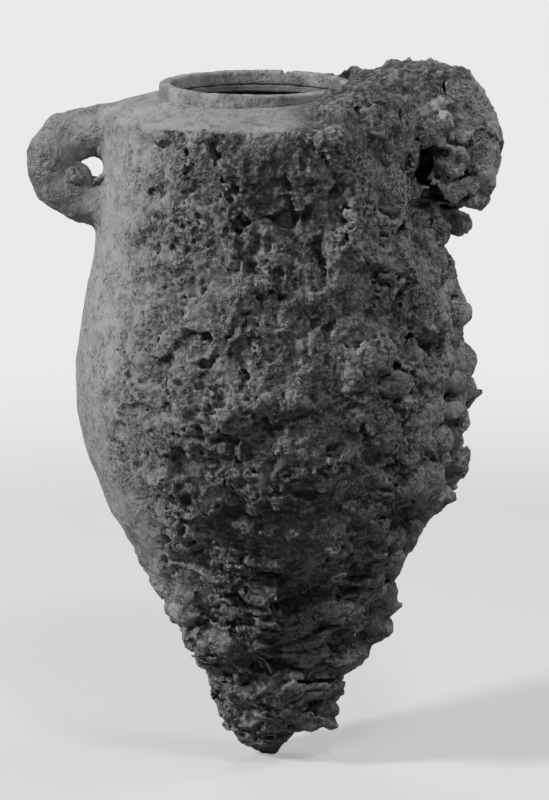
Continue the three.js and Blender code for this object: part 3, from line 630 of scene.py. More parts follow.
def coarse_relief(points, skin, rough):
    """How far the sea's growth raises the skin over the plain shape: lumps, crags and the larger pits."""
    lump, crag, pit, _, ledge, _ = skin
    angle, radius = turn_of(points)
    low = 1 - smooth(120, 250, points[:, 2])
    bent = drawn_out(points)
    round_share = between(*ROUND_ZONE, angle)
    ear = smooth(92, 108, points[:, 0]) * smooth(380, 405, points[:, 2])
    edge = between(*RIGHT_ZONE, angle) * (1 - 0.8 * ear)
    calm = calm_at(points)
    uneven = np.clip(0.8 + 0.7 * waves(points, 46, 8), 0.3, 1.25) * calm
    out = rough * (0.3 + 0.7 * calm) * lump * mixed(bent, (0.8, 58, 1), (0.8, 30, 2))
    shelf = waves(bent * np.array([0.5, 0.5, 1], FLOAT), 17, 5)
    out += rough * low * ledge * 0.8 * (1 - 0.5 * round_share) * shelf
    crevice = smooth(0.15, 0, np.abs(waves(bent * np.array([0.4, 0.4, 1], FLOAT), 22, 6)))
    out -= rough * low * ledge * crevice * smooth(-0.3, 0.2, waves(bent, 40, 22))
    # The smaller of two waves has sharp crests, and the larger has sharp creases.
    crested = np.minimum(waves(bent, 17, 7), waves(bent, 17, 8)) + 0.3
    crested += 0.75 * (np.minimum(waves(bent, 9, 9), waves(bent, 9, 12)) + 0.3)
    creased = np.maximum(waves(bent, 19, 16), waves(bent, 19, 18)) - 0.3
    creased += 0.65 * (1 - 0.7 * edge) * (np.maximum(waves(bent, 9.5, 17), waves(bent, 9.5, 21)) - 0.3)
    ridged = (1 - 0.75 * round_share) * (1 - 0.7 * edge)
    out += rough * uneven * crag * (ridged * crested + 1.3 * round_share * creased)
    left = between(*POROUS_ZONE, angle)
    few = (1 - 0.5 * round_share) * (1 - 0.8 * edge) * (1 + 0.3 * ear)
    out -= rough * uneven * few * pit * 1.1 * pits(bent, 18, 1, 0.2)
    out -= (0.03 + 0.97 * rough) * (0.3 + 0.7 * uneven) * (1.25 + 1.1 * left) * few * pit * pits(bent, 8.5, 2, 0.45)
    return out * (1 - 0.6 * smooth(100, 84, radius) * smooth(470, 488, points[:, 2]))


def fine_relief(points, skin, rough):
    """The part of the relief that needs the finest lattice."""
    _, _, pit, grain, _, film = skin
    bent = points + sway(points, 7.5, 35) * 1.8
    angle, _ = turn_of(points)
    edge = between(*RIGHT_ZONE, angle) * (1 - smooth(380, 405, points[:, 2]))
    share = (0.08 + 0.92 * rough) * (0.5 + 0.5 * calm_at(points)) * (1 - 0.4 * edge)
    out = share * grain * (0.75 * waves(bent, 5.6, 14) + 0.65 * waves(points, 2.8, 15))
    patchy = smooth(-0.4, 0.3, waves(points, 33, 19))
    left = between(*FINE_POROUS_ZONE, angle)
    out -= share * (0.3 + 0.7 * patchy + 0.8 * left) * pit * 0.6 * pits(bent, 5.0, 3, 0.5)
    return out + film * mixed(points, (1, 30, 10), (0.5, 9, 11))


def coarse_distance(points, skin):
    """Distance to the whole jar with its coarse relief, pulled about so that no growth is a plain ball."""
    rough = roughness_at(points)
    steady = (0.45 + 0.55 * calm_at(points)) * (1 - 0.5 * smooth(85, 115, points[:, 0]))
    pull = sway(points, 27, 20) * 5.5
    pull += sway(points, 11, 45) * 1.6
    return shape_distance(points + pull * (rough * steady)[:, None]) - coarse_relief(points, skin, rough)


def on_clay(points, distance):
    """The distance after the pits that reach the clay have been stopped just under its clean outline."""
    _, radius = turn_of(points)
    return soft_min(distance, outline_distance(radius, points[:, 2]) + CLAY_BITE, 1)


def lime_at(points):
    """How much of the lime's colour the skin shows, from 0 to 1."""
    angle, radius = turn_of(points)
    height = points[:, 2]
    wander = mixed(points, (16, 70, 64), (10, 24, 65))
    lime = follow(LIME_BY_ANGLE, np.clip(angle + wander, -180, 180))
    lime *= smooth(-10, 190, height + wander)
    clean = 1 - between(*TOP_DULL_ZONE, angle + wander * 0.5)
    lime = np.where(on_top(radius, height), clean, lime)
    return (lime + left_ear_share(points) * (1 - lime)).astype(FLOAT)


def deposit_and_shade_at(points):
    """How dark the skin is made, up to 1, as deposit and as painted shade: most low on the front, and under the
    shoulder there.
    """
    angle, radius = turn_of(points)
    height = points[:, 2]
    angle = angle + mixed(points, (14, 60, 60), (6, 22, 61))
    height = height + mixed(points, (18, 55, 62), (7, 20, 63))
    across = between(*DARK_ZONE, angle)
    lower = between(*LOW_DARK_ZONE, height)
    upper = between(*HIGH_DARK_ZONE, height)
    deposit_and_shade = across * (0.42 + 0.58 * np.maximum(lower, 0.85 * upper))
    deposit_and_shade = np.maximum(deposit_and_shade, 0.36 * between(*SOILED_ZONE, angle))
    deposit_and_shade = deposit_and_shade - 0.5 * between(*CLEAN_ZONE, angle) * smooth(110, 200, height)
    shoulder = 0.22 + 0.5 * between(*TOP_DARK_ZONE, angle) + 0.3 * waves(points, 26, 66)
    deposit_and_shade = np.where(on_top(radius, points[:, 2]), shoulder, deposit_and_shade)
    ear = left_ear_share(points)
    return (deposit_and_shade + ear * (0.4 + 0.5 * waves(points, 24, 67) - deposit_and_shade)).astype(FLOAT)


# From a field of distances to a mesh.

SKIN_BOX = ((-182, -168, -16), (200, 164, 544))  # reaches past every growth, so that the skin is closed
GROUND_GAP = 0.2  # how far the foot stays over the floor


def lattice_points(numbers, low, pitch):
    """Places of lattice points."""
    return (np.array(low, FLOAT) + numbers.astype(FLOAT) * FLOAT(pitch)).astype(FLOAT)


def doubled(values):
    """Lattice values at twice as many points along each axis, read off in straight lines between the old ones."""
    for axis in range(3):
        values = np.moveaxis(values, axis, 0)
        finer = np.repeat(values, 2, 0)
        finer[1:-1:2] += values[1:]
        finer[1:-1:2] /= 2
        values = np.moveaxis(finer, 0, axis)
    return np.ascontiguousarray(values)


def filled_lattice(low, high, pitch, levels):
    """Distances on a lattice, worked out only near the skin.

    levels holds (step, field, reach) from coarse to fine: at each, the field is read at every step-th point that
    the level before it left open, and points within reach of the skin stay open. A field is given the places and
    what the level before it found there.
    """
    first = levels[0][0]
    shape = (np.ceil((np.array(high) - low) / (pitch * first)).astype(int) + 1)
    numbers = np.stack(np.meshgrid(*[np.arange(n) for n in shape], indexing="ij"), -1).reshape(-1, 3)
    values = np.zeros(shape, FLOAT)
    for level, (step, field, reach) in enumerate(levels):
        key = tuple(numbers.T)
        found = shared_out(field, lattice_points(numbers, low, pitch * step), values[key])
        values[key] = found
        if level + 1 == len(levels):
            return values
        halves = step // levels[level + 1][0]
        open_points = numbers[np.abs(found) < reach]
        for _ in range(int(math.log2(halves))):
            values = doubled(values)
        asked = np.zeros(values.shape, bool)
        around = np.arange(-(halves - 1), halves)
        for shift in np.stack(np.meshgrid(around, around, around, indexing="ij"), -1).reshape(-1, 3):
            near = open_points * halves + shift
            near = near[((near >= 0) & (near < values.shape)).all(1)]
            asked[tuple(near.T)] = True
        numbers = np.argwhere(asked)


def skin_of(values, low, pitch):
    """Points and four-cornered faces of the skin where a lattice of distances changes sign."""
    inside = values < 0
    size = np.array(values.shape)
    steps = np.array([size[1] * size[2], size[2], 1])
    corners = np.array(list(np.ndindex(2, 2, 2)))
    count = np.zeros(size - 1, np.int8)
    for corner in corners:
        count += inside[tuple(slice(c, n - 1 + c) for c, n in zip(corner, size))]
    cell = np.argwhere((count > 0) & (count < 8))
    key = cell @ steps
    value = values.ravel()[key[:, None] + corners @ steps]
    total = np.zeros((len(cell), 3))
    hits = np.zeros(len(cell))
    for a in range(8):
        for b in range(a + 1, 8):
            if np.abs(corners[a] - corners[b]).sum() == 1:
                crosses = (value[:, a] < 0) != (value[:, b] < 0)
                drop = np.where(crosses, value[:, a] - value[:, b], 1)
                share = np.where(crosses, value[:, a] / drop, 0)
                total += (corners[a] + share[:, None] * (corners[b] - corners[a])) * crosses[:, None]
                hits += crosses
    points = np.array(low) + pitch * (cell + total / hits[:, None])
    faces = []
    for axis in range(3):
        b, c = (axis + 1) % 3, (axis + 2) % 3
        window = [slice(1, -1)] * 3
        window[axis] = slice(0, -1)
        beyond = list(window)
        beyond[axis] = slice(1, None)
        here = inside[tuple(window)]
        offset = np.ones(3, int)
        offset[axis] = 0
        where = np.argwhere(here != inside[tuple(beyond)])
        leaving = here[tuple(where.T)]
        corner_key = (where + offset) @ steps
        around = np.stack([corner_key - steps[b] - steps[c], corner_key - steps[c], corner_key,
                           corner_key - steps[b]], 1)
        around[~leaving] = around[~leaving, ::-1]
        faces.append(np.searchsorted(key, around))
    return points, np.concatenate(faces)


def largest_part(points, faces):
    """The skin without bits that hang free of it."""
    group = np.arange(len(points))
    while True:
        lowest = group[faces].min(1)
        new = group.copy()
        for k in range(4):
            np.minimum.at(new, faces[:, k], lowest)
            np.minimum.at(new, group[faces[:, k]], lowest)
        new = new[new]
        if (new == group).all():
            break
        group = new
    biggest = np.bincount(group[faces[:, 0]]).argmax()
    kept = faces[group[faces[:, 0]] == biggest]
    used, kept = np.unique(kept, return_inverse=True)
    return points[used], kept.reshape(-1, 4)


def gathered(target, values, size):
    """Sums of vector values by target."""
    return np.stack([np.bincount(target, values[:, k], size) for k in range(3)], 1)


def normals_of(points, faces):
    """Smooth normals at points."""
    a, b, c, d = (points[faces[:, k]] for k in range(4))
    square = np.cross(c - a, d - b)
    total = sum(gathered(faces[:, k], square, len(points)) for k in range(4))
    return total / np.maximum(np.linalg.norm(total, axis=1, keepdims=True), 1e-12)


def settled(points, faces, rounds):
    """The points after each has moved to the middle of its neighbours, some rounds over."""
    places = points
    share = np.bincount(faces.ravel(), minlength=len(points))[:, None] * 2.0
    for _ in range(rounds):
        total = 0
        for k in range(4):
            neighbours = places[faces[:, k - 1]] + places[faces[:, (k + 1) % 4]]
            total = total + gathered(faces[:, k], neighbours, len(points))
        places = total / np.maximum(share, 1)
    return places


@lru_cache(maxsize=None)
def grown_skin():
    """The whole outer skin: points, faces, normals, readings and the piece of each face."""
    settings = bpy.context.scene.jar_skin
    skin = tuple(FLOAT(value / MM) for value in (
        settings.lump_height, settings.crag_height, settings.pit_depth, settings.grain_height,
        settings.ledge_depth, settings.film_relief))
    pitch = settings.pitch / MM
    low, high = SKIN_BOX
    levels = [
        (8, lambda p, _: on_clay(p, shape_distance(p)), 18 + 7 * pitch),
        (2, lambda p, _: on_clay(p, coarse_distance(p, skin)), 2.5 + 2 * pitch),
        (1, lambda p, found: on_clay(p, found - fine_relief(p, skin, roughness_at(p))), 0),
    ]
    points, faces = largest_part(*skin_of(filled_lattice(low, high, pitch, levels), low, pitch))
    middle = points[faces].mean(1)
    under_rim = (np.hypot(middle[:, 0], middle[:, 1]) < 69) & (middle[:, 2] > 500)
    faces = faces[~under_rim]
    points, faces = largest_part(points, faces)
    points[:, 2] = np.maximum(points[:, 2], GROUND_GAP)
    normals = normals_of(points, faces)
    near = settled(points, faces, 3)
    far = settled(near, faces, 9)
    return {
        "points": points, "faces": faces, "normals": normals,
        "hollow": np.einsum("ij,ij->i", near - points, normals),
        "dip": np.einsum("ij,ij->i", far - points, normals),
        "rough": shared_out(roughness_at, points.astype(FLOAT)),
        "deposit_and_shade": shared_out(deposit_and_shade_at, points.astype(FLOAT)),
        "lime": shared_out(lime_at, points.astype(FLOAT)),
        "piece": pieces_of(points[faces].mean(1).astype(FLOAT)),
    }


def pieces_of(middle):
    """The name of the piece that each face belongs to."""
    place = middle + sway(middle, 18, 30) * 4
    angle, radius = turn_of(place)
    height = place[:, 2]
    names = np.empty(len(middle), object)
    band = np.where(height < LOWER_CRACK, "cone", np.where(height < UPPER_CRACK, "belly", "waist"))
    for column, (first, last) in COLUMNS.items():
        turned = (angle - first) % 360 < last - first
        for name in ("cone", "belly", "waist"):
            names[turned & (band == name)] = f"crust_{name}_{column}"
    names[height < FOOT_CRACK] = "crust_foot"
    top = on_top(radius, height)
    crusted = (angle > SHOULDER_CRUST[0]) & (angle < SHOULDER_CRUST[1])
    names[top & crusted] = "crust_shoulder"
    names[top & ~crusted] = "shoulder"
    names[names == "crust_waist_left"] = "wall_waist"
    nearest = body_distance(middle)
    for name, distance in growths_near(middle).items():
        closer = distance < nearest - (3 if name in EAR_MASSES else 0)
        names[closer] = name
        nearest = np.where(closer, distance, nearest)
    return names


# From the skin to closed pieces.

# What the finishes read off each point, and its value on the closed backs.
BACK_READINGS = {"hollow": 1, "dip": 2, "rough": 1, "deposit_and_shade": 0.5, "lime": 0}
NO_TRIANGLES = np.zeros((0, 3), int)


def edge_loops(faces):
    """Loops of points round the open edges of faces."""
    ahead = np.stack([faces.ravel(), np.roll(faces, -1, 1).ravel()], 1)
    size = faces.max() + 1
    forward = ahead[:, 0] * size + ahead[:, 1]
    backward = ahead[:, 1] * size + ahead[:, 0]
    keys, first, there = np.unique(forward, return_index=True, return_counts=True)
    back_keys, back = np.unique(backward, return_counts=True)
    at = np.clip(np.searchsorted(back_keys, keys), 0, len(back_keys) - 1)
    there = there - np.where(back_keys[at] == keys, back[at], 0)
    leads = {}
    for number in np.flatnonzero(there > 0):
        start, end = ahead[first[number]].tolist()
        leads.setdefault(start, []).extend([end] * int(there[number]))
    loops = []
    while leads:
        start = next(iter(leads))
        loop, at = [], start
        while True:
            loop.append(at)
            onward = leads[at].pop()
            if not leads[at]:
                del leads[at]
            at = onward
            if at == start:
                break
        loops.append(loop)
    return sorted(loops, key=len, reverse=True)


def inner_radius(height):
    """Radius of the clay's outer face under the crust."""
    return np.interp(height, [z for z, _ in OUTLINE], [r for _, r in OUTLINE]) - 2.5


def backing(name, loop_points):
    """Rings of points that close the back of a piece of the jar's body, from its open edge inwards."""
    angle, radius = turn_of(loop_points)
    angle = np.radians(angle.astype(float))
    centre = math.atan2(np.sin(angle).mean(), np.cos(angle).mean())
    turn = (angle - centre + math.pi) % (2 * math.pi) - math.pi
    height = loop_points[:, 2]
    rings = []
    if name == "crust_foot":
        for share in (1, 0.8, 0.6, 0.4, 0.2):
            z = 14 + (height - 14) * share
            r = np.maximum(inner_radius(z) - 1, 1)
            rings.append(np.stack([r * np.sin(angle), -r * np.cos(angle), z], 1))
        return rings, np.array([[0, 0, 13.5]])
    for share in (1, 0.75, 0.5, 0.25, 0):
        a = centre + turn * share
        if name in ("shoulder", "crust_shoulder"):
            r = radius.mean() + (np.clip(radius, 70, 111) - radius.mean()) * share
            z = EDGE_HEIGHT + 1 - SHOULDER_SLOPE * (r - EDGE_RADIUS) - 2
        else:
            z = height.mean() + (height - height.mean()) * share
            r = inner_radius(z)
        rings.append(np.stack([r * np.sin(a), -r * np.cos(a), z], 1))
    return rings[:-1], rings[-1][:1]


def closed_piece(name, chosen):
    """Points, faces, triangles and readings of one piece of the skin, closed at the back."""
    skin = grown_skin()
    faces = skin["faces"][chosen]
    used, faces = np.unique(faces, return_inverse=True)
    faces = faces.reshape(-1, 4)
    points = skin["points"][used]
    normals = skin["normals"][used]
    extra_points, quads, triangles = [], [faces], []
    count = len(points)
    body = name.startswith("crust_") or name in ("shoulder", "wall_waist")
    middle = None
    if name in NODULES:
        middle = np.array(nodule_place(name)[0])
    elif name in EAR_MASSES:
        middle = np.array(EAR_MASSES[name][0], float)
    for number, loop in enumerate(edge_loops(faces)):
        ring = np.array(loop)
        edge = points[ring]
        if body and number == 0:
            rings, tip = backing(name, edge)
        else:
            rings = [edge - 3 * normals[ring]]
            inward = edge.mean(0) * np.array([1, 1, 0])
            inward /= max(np.linalg.norm(inward), 1e-9)
            tip = (edge.mean(0) - inward * 5 if middle is None else middle).reshape(1, 3)
        for new_ring in rings:
            extra_points.append(new_ring)
            fresh = np.arange(count, count + len(ring))
            count += len(ring)
            quads.append(np.stack([ring, fresh, np.roll(fresh, -1), np.roll(ring, -1)], 1))
            ring = fresh
        extra_points.append(tip)
        triangles.append(np.stack([ring, np.full(len(ring), count), np.roll(ring, -1)], 1))
        count += 1
    extra = np.concatenate(extra_points) if extra_points else np.zeros((0, 3))
    triangles = np.concatenate(triangles) if triangles else NO_TRIANGLES
    quads = np.concatenate(quads)
    all_points = np.concatenate([points, extra])
    all_normals = normals_of(all_points, np.concatenate([quads, triangles[:, [0, 1, 2, 2]]]))
    all_normals[:len(points)] = normals
    readings = {}
    for key, inside in BACK_READINGS.items():
        readings[key] = np.concatenate([skin[key][used], np.full(len(extra), inside)])
    return {
        "points": all_points,
        "normals": all_normals,
        "quads": quads,
        "triangles": triangles,
        "front": len(faces),
        "readings": readings,
    }


def flat_map(points, normals):
    """A flat place for each point of a piece, seen along its outward direction."""
    middle = points.mean(0)
    outward = normals.mean(0)
    if np.linalg.norm(outward) < 0.05:
        outward = middle * np.array([1, 1, 0])
    outward = outward / max(np.linalg.norm(outward), 1e-9)
    across = np.cross([0, 0, 1.0], outward)
    if np.linalg.norm(across) < 0.1:
        across = np.array([1.0, 0, 0])
    across /= np.linalg.norm(across)
    upward = np.cross(outward, across)
    flat = np.stack([(points - middle) @ across, (points - middle) @ upward], 1)
    return (flat - flat.min(0)) / max((flat.max(0) - flat.min(0)).max(), 1e-9)


def mesh_object(name, points, quads, triangles, normals, readings, front=None):
    """A mesh object in the frame, from millimetres."""
    mesh = bpy.data.meshes.new(name)
    loops = np.concatenate([quads.ravel(), triangles.ravel()]).astype(np.int32)
    starts = np.concatenate([np.arange(len(quads)) * 4, len(quads) * 4 + np.arange(len(triangles)) * 3])
    mesh.vertices.add(len(points))
    mesh.vertices.foreach_set("co", (points * MM).astype(FLOAT).ravel())
    mesh.loops.add(len(loops))
    mesh.loops.foreach_set("vertex_index", loops)
    mesh.polygons.add(len(starts))
    mesh.polygons.foreach_set("loop_start", starts.astype(np.int32))
    mesh.update(calc_edges=True)
    mesh.polygons.foreach_set("use_smooth", np.ones(len(starts), bool))
    for key, values in readings.items():
        mesh.attributes.new(key, "FLOAT", "POINT").data.foreach_set("value", values.astype(FLOAT))
    flat = flat_map(points, normals) * 0.97
    corner = flat[loops]
    if front is not None:
        corner[front * 4:] = corner[front * 4:] * 0.02 + 0.975
    mesh.uv_layers.new(name="OFBake").uv.foreach_set("vector", corner.astype(FLOAT).ravel())
    mesh.normals_split_custom_set_from_vertices(normals.tolist())
    made = bpy.data.objects.new(name, mesh)
    bpy.context.scene.collection.objects.link(made)
    return made


def join_frame(made, material, slot, *nodes):
    """Puts a piece in the frame, in its finish, for the nodes that it stands for."""
    made.data.materials.append(material)
    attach(made, "root")
    if nodes:
        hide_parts(*nodes)
    return made


def skin_piece(node, material, slot, name=None):
    """Makes the part of the skin that stands for a node."""
    chosen = grown_skin()["piece"] == node
    if not chosen.any():
        raise RuntimeError(f"no skin was grown for {node}")
    part = closed_piece(node, chosen)
    made = mesh_object(name or f"weathered_{node}", part["points"], part["quads"], part["triangles"],
                       part["normals"], part["readings"], part["front"])
    return join_frame(made, material, slot, node)


def turned_mesh(outline, steps, relief_at=None):
    """Points, faces and normals of a closed round body, from a closed outline of radius and height."""
    outline = np.array(outline, float)
    turn = np.linspace(0, 2 * math.pi, steps, endpoint=False)
    r = np.repeat(outline[None, :, 0], steps, 0)
    z = np.repeat(outline[None, :, 1], steps, 0)
    a = np.repeat(turn[:, None], len(outline), 1)
    points = np.stack([r * np.sin(a), -r * np.cos(a), z], -1).reshape(-1, 3)
    i, j = np.meshgrid(np.arange(steps), np.arange(len(outline)), indexing="ij")
    m = len(outline)
    ahead, up = (i + 1) % steps, (j + 1) % m
    faces = np.stack([i * m + j, ahead * m + j, ahead * m + up, i * m + up], -1).reshape(-1, 4)
    normals = normals_of(points, faces)
    if relief_at is not None:
        points = points + normals * relief_at(points.astype(FLOAT))[:, None]
        normals = normals_of(points, faces)
    return points, faces, normals


# Finishes.

class Graph:
    """Adds nodes to a tree, with their settings and links given by name."""

    def __init__(self, tree):
        self.tree = tree

    def add(self, kind, settings=None, **values):
        node = self.tree.nodes.new(kind)
        for key, value in (settings or {}).items():
            setattr(node, key, value)
        for key, value in values.items():
            socket = node.inputs[int(key[1:])] if key[0] == "_" else node.inputs[key.replace("_", " ")]
            if isinstance(value, bpy.types.NodeSocket):
                self.tree.links.new(value, socket)
            else:
                socket.default_value = value
        return node

    def math(self, operation, a, b=0.0, clamp=False):
        node = self.add("ShaderNodeMath", {"operation": operation, "use_clamp": clamp}, _0=a, _1=b)
        return node.outputs[0]

    def times(self, a, b, clamp=False):
        return self.math("MULTIPLY", a, b, clamp)

    def plus(self, a, b):
        return self.math("ADD", a, b)

    def minus(self, a, b, clamp=False):
        return self.math("SUBTRACT", a, b, clamp)

    def seen(self):
        """1 for what the camera sees, straight or mirrored, and 0 for the light that falls on other things."""
        path = self.add("ShaderNodeLightPath").outputs
        return self.math("MAXIMUM", path["Is Camera Ray"], path["Is Glossy Ray"])

    def noise(self, place, scale, detail, roughness=0.5, output=0):
        return self.add("ShaderNodeTexNoise", Vector=place, Scale=scale, Detail=detail,
                        Roughness=roughness).outputs[output]

    def ramp(self, value, low, high, start=0.0, end=1.0):
        node = self.add("ShaderNodeMapRange", {"interpolation_type": "SMOOTHSTEP"}, Value=value, From_Min=low,
                        From_Max=high, To_Min=start, To_Max=end)
        return node.outputs["Result"]

    def mix(self, share, a, b):
        node = self.add("ShaderNodeMix", {"data_type": "RGBA"}, Factor=share)
        for name, value in (("A", a), ("B", b)):
            socket = [s for s in node.inputs if s.name == name and s.type == "RGBA"][0]
            if isinstance(value, bpy.types.NodeSocket):
                self.tree.links.new(value, socket)
            else:
                socket.default_value = value
        return [s for s in node.outputs if s.type == "RGBA"][0]


def fresh_graph(owner):
    """A graph on the emptied node tree of a material or a world."""
    owner.use_nodes = True
    owner.node_tree.nodes.clear()
    return Graph(owner.node_tree)


def shade(colour, share=1.0):
    """A colour or a share of it, with full alpha."""
    return *(share * c for c in colour), 1


def group_of(name, inputs, outputs, build):
    """A shader node group with named inputs and outputs, built once."""
    if name in bpy.data.node_groups:
        return bpy.data.node_groups[name]
    tree = bpy.data.node_groups.new(name, "ShaderNodeTree")
    for label, kind, default in inputs:
        socket = tree.interface.new_socket(label, in_out="INPUT", socket_type=kind)
        if default is not None:
            socket.default_value = default
    for label in outputs:
        tree.interface.new_socket(label, in_out="OUTPUT", socket_type="NodeSocketFloat")
    graph = Graph(tree)
    given = graph.add("NodeGroupInput").outputs
    found = build(graph, given)
    graph.add("NodeGroupOutput", **{label.replace(" ", "_"): found[label] for label in outputs})
    return tree


def pores_group():
    """Small ragged pores at two sizes."""
    def build(graph, given):
        place = graph.add("ShaderNodeVectorMath", {"operation": "SCALE"}, _0=given["Vector"],
                          Scale=given["Scale"]).outputs[0]
        shake = graph.noise(place, 1.3, 2.0, output="Color")
        place = graph.add("ShaderNodeVectorMath", {"operation": "MULTIPLY_ADD"}, _0=shake, _1=(1.6, 1.6, 1.6),
                          _2=place).outputs[0]
        sizes = []
        for factor, depth in ((1.0, 1.0), (2.3, 0.8)):
            cell = graph.add("ShaderNodeTexVoronoi", {"feature": "F1"}, Vector=place, Scale=factor)
            hole = graph.ramp(cell.outputs["Distance"], 0.5, 0.1)
            pick = graph.add("ShaderNodeSeparateColor", Color=cell.outputs["Color"]).outputs[0]
            chosen = graph.math("LESS_THAN", pick, given["Share"])
            sizes.append(graph.times(graph.times(hole, chosen), depth))
        return {"Pore": graph.math("MAXIMUM", *sizes)}
    return group_of("Pores", [("Vector", "NodeSocketVector", None), ("Scale", "NodeSocketFloat", 400.0),
                              ("Share", "NodeSocketFloat", 0.5)], ["Pore"], build)


def grain_group():
    """Stony grain: a height, a broad tone, grit, where it is patchy, and pale specks."""
    def build(graph, given):
        def noise(factor, detail, roughness=0.6):
            return graph.noise(given["Vector"], graph.times(given["Scale"], factor), detail, roughness)

        middling, fine = noise(1.0, 3.0), noise(2.7, 2.0)
        return {
            "Height": graph.plus(middling, graph.times(fine, 0.45)),
            "Tone": noise(0.12, 4.0),
            "Grit": graph.plus(graph.times(fine, 0.6), graph.times(middling, 0.4)),
            "Patch": noise(0.2, 3.0, 0.55),
            "Specks": graph.ramp(fine, 0.54, 0.66),
        }
    return group_of("Grain", [("Vector", "NodeSocketVector", None), ("Scale", "NodeSocketFloat", 300.0)],
                    ["Height", "Tone", "Grit", "Patch", "Specks"], build)


def stone(name, pale, dark, speck, pore_scale, pore_share, grain_scale, depth, film=None, roughness=0.9):
    """A stony finish: hollows darkened as deposit and painted shade, pale ridges, specks of lime that also paint
    highlights, pores painted dark as their shade, grain, and film where it is smooth.
    """
    if name in bpy.data.materials:
        return bpy.data.materials[name]
    material = bpy.data.materials.new(name)
    graph = fresh_graph(material)
    place = graph.add("ShaderNodeTexCoord").outputs["Object"]
    hollow, dip, rough, deposit_and_shade, lime = (
        graph.add("ShaderNodeAttribute", {"attribute_name": key}).outputs["Fac"] for key in BACK_READINGS)
    pores = graph.add("ShaderNodeGroup", {"node_tree": pores_group()}, Vector=place, Scale=pore_scale,
                      Share=pore_share).outputs["Pore"]
    grain = graph.add("ShaderNodeGroup", {"node_tree": grain_group()}, Vector=place, Scale=grain_scale).outputs
    # The level between the dark and the pale colour: high on ridges, as wear, low in hollows, as deposit and painted
    # shade, and lower under the deposit and painted shade on the front.
    worn_and_unshaded = graph.ramp(hollow, 0.7, -0.6)
    raised = graph.ramp(dip, 1.9, -2.2)
    level = graph.plus(graph.times(graph.minus(worn_and_unshaded, 0.2), 0.55), graph.times(raised, 0.6))
    level = graph.plus(level, graph.times(graph.ramp(grain["Tone"], 0.36, 0.66), 0.2))
    level = graph.minus(level, graph.times(deposit_and_shade, 0.5), True)
    patch = graph.ramp(grain["Patch"], 0.4, 0.6, 0.3, 1.0)
    grit = graph.times(graph.ramp(grain["Grit"], 0.4, 0.6, -0.75, 0.55), patch)
    level = graph.times(level, graph.plus(grit, 1.0))
    # Pale lime specks on the ridges, which also paint highlights there.
    specks = graph.times(grain["Specks"], graph.times(worn_and_unshaded, level))
    colour = graph.mix(graph.times(specks, 0.8), graph.mix(level, shade(dark), shade(pale)), shade(speck))
    if film:
        streaked = graph.add("ShaderNodeMapping", Vector=place, Scale=(1.0, 1.0, 0.85)).outputs[0]
        mottle = graph.noise(streaked, 160.0, 7.0, 0.7)
        # The film is painted darker in hollows, as their shade, where its mottle is low, and darker with the deposit
        # and painted shade.
        edge = graph.times(graph.ramp(hollow, 0.5, -0.1), graph.ramp(mottle, 0.36, 0.5))
        film_colour = graph.mix(edge, shade(film, 0.58), shade(film))
        film_colour = graph.mix(graph.times(deposit_and_shade, 0.8, True), film_colour, shade(film, 0.35))
        held = graph.plus(lime, graph.times(graph.minus(raised, 0.5), 0.5))
        held = graph.plus(held, graph.times(graph.minus(mottle, 0.5), 0.9))
        colour = graph.mix(graph.ramp(held, 0.25, 0.85), colour, film_colour)
    pores = graph.times(pores, patch)
    # The pores are painted dark, as the shade in them.
    pore_shade = graph.times(pores, graph.ramp(rough, 0.0, 1.0, 0.12, 0.9))
    colour = graph.mix(pore_shade, colour, shade(dark, 0.4))
    height = graph.minus(graph.times(grain["Height"], 1.2), pores)
    height = graph.times(height, graph.times(graph.ramp(rough, 0.0, 0.9, 0.3, 1.0), patch))
    bump = graph.add("ShaderNodeBump", Strength=1.0, Distance=depth, Height=height).outputs[0]
    shader = graph.add("ShaderNodeBsdfPrincipled", Base_Color=colour, Roughness=roughness, Normal=bump)
    shader.inputs["Specular IOR Level"].default_value = 0.25
    graph.add("ShaderNodeOutputMaterial", Surface=shader.outputs[0])
    return material


def lime_finish():
    """Thin lime film on clay."""
    f = bpy.context.scene.jar_finish
    return stone("Lime film", f.crust_pale, f.crust_dark, f.lime, 360, 0.4, 300, 0.0034, f.lime)


def crust_finish():
    """Thick sea crust."""
    f = bpy.context.scene.jar_finish
    return stone("Sea crust", f.crust_pale, f.crust_dark, f.lime, 360, 0.4, 300, 0.0034, f.lime)


def growth_finish():
    """Porous lime growths."""
    f = bpy.context.scene.jar_finish
    pale, dark = (tuple(1.2 * c for c in colour) for colour in (f.crust_pale, f.crust_dark))
    return stone("Porous growth", pale, dark, f.lime, 360, 0.45, 300, 0.0034)


def clay_finish():
    """Bare fired clay."""
    clay = bpy.context.scene.jar_finish.clay
    return stone("Fired clay", clay, shade(clay, 0.5)[:3], shade(clay, 1.5)[:3], 500, 0.2, 420, 0.0008)


def shell_finish():
    """Sea shells and worm tubes."""
    shell = bpy.context.scene.jar_finish.shell
    return stone("Shell lime", shell, shade(shell, 0.4)[:3], shade(shell, 1.3)[:3], 700, 0.2, 500, 0.0006,
                 roughness=0.75)


# Operators.

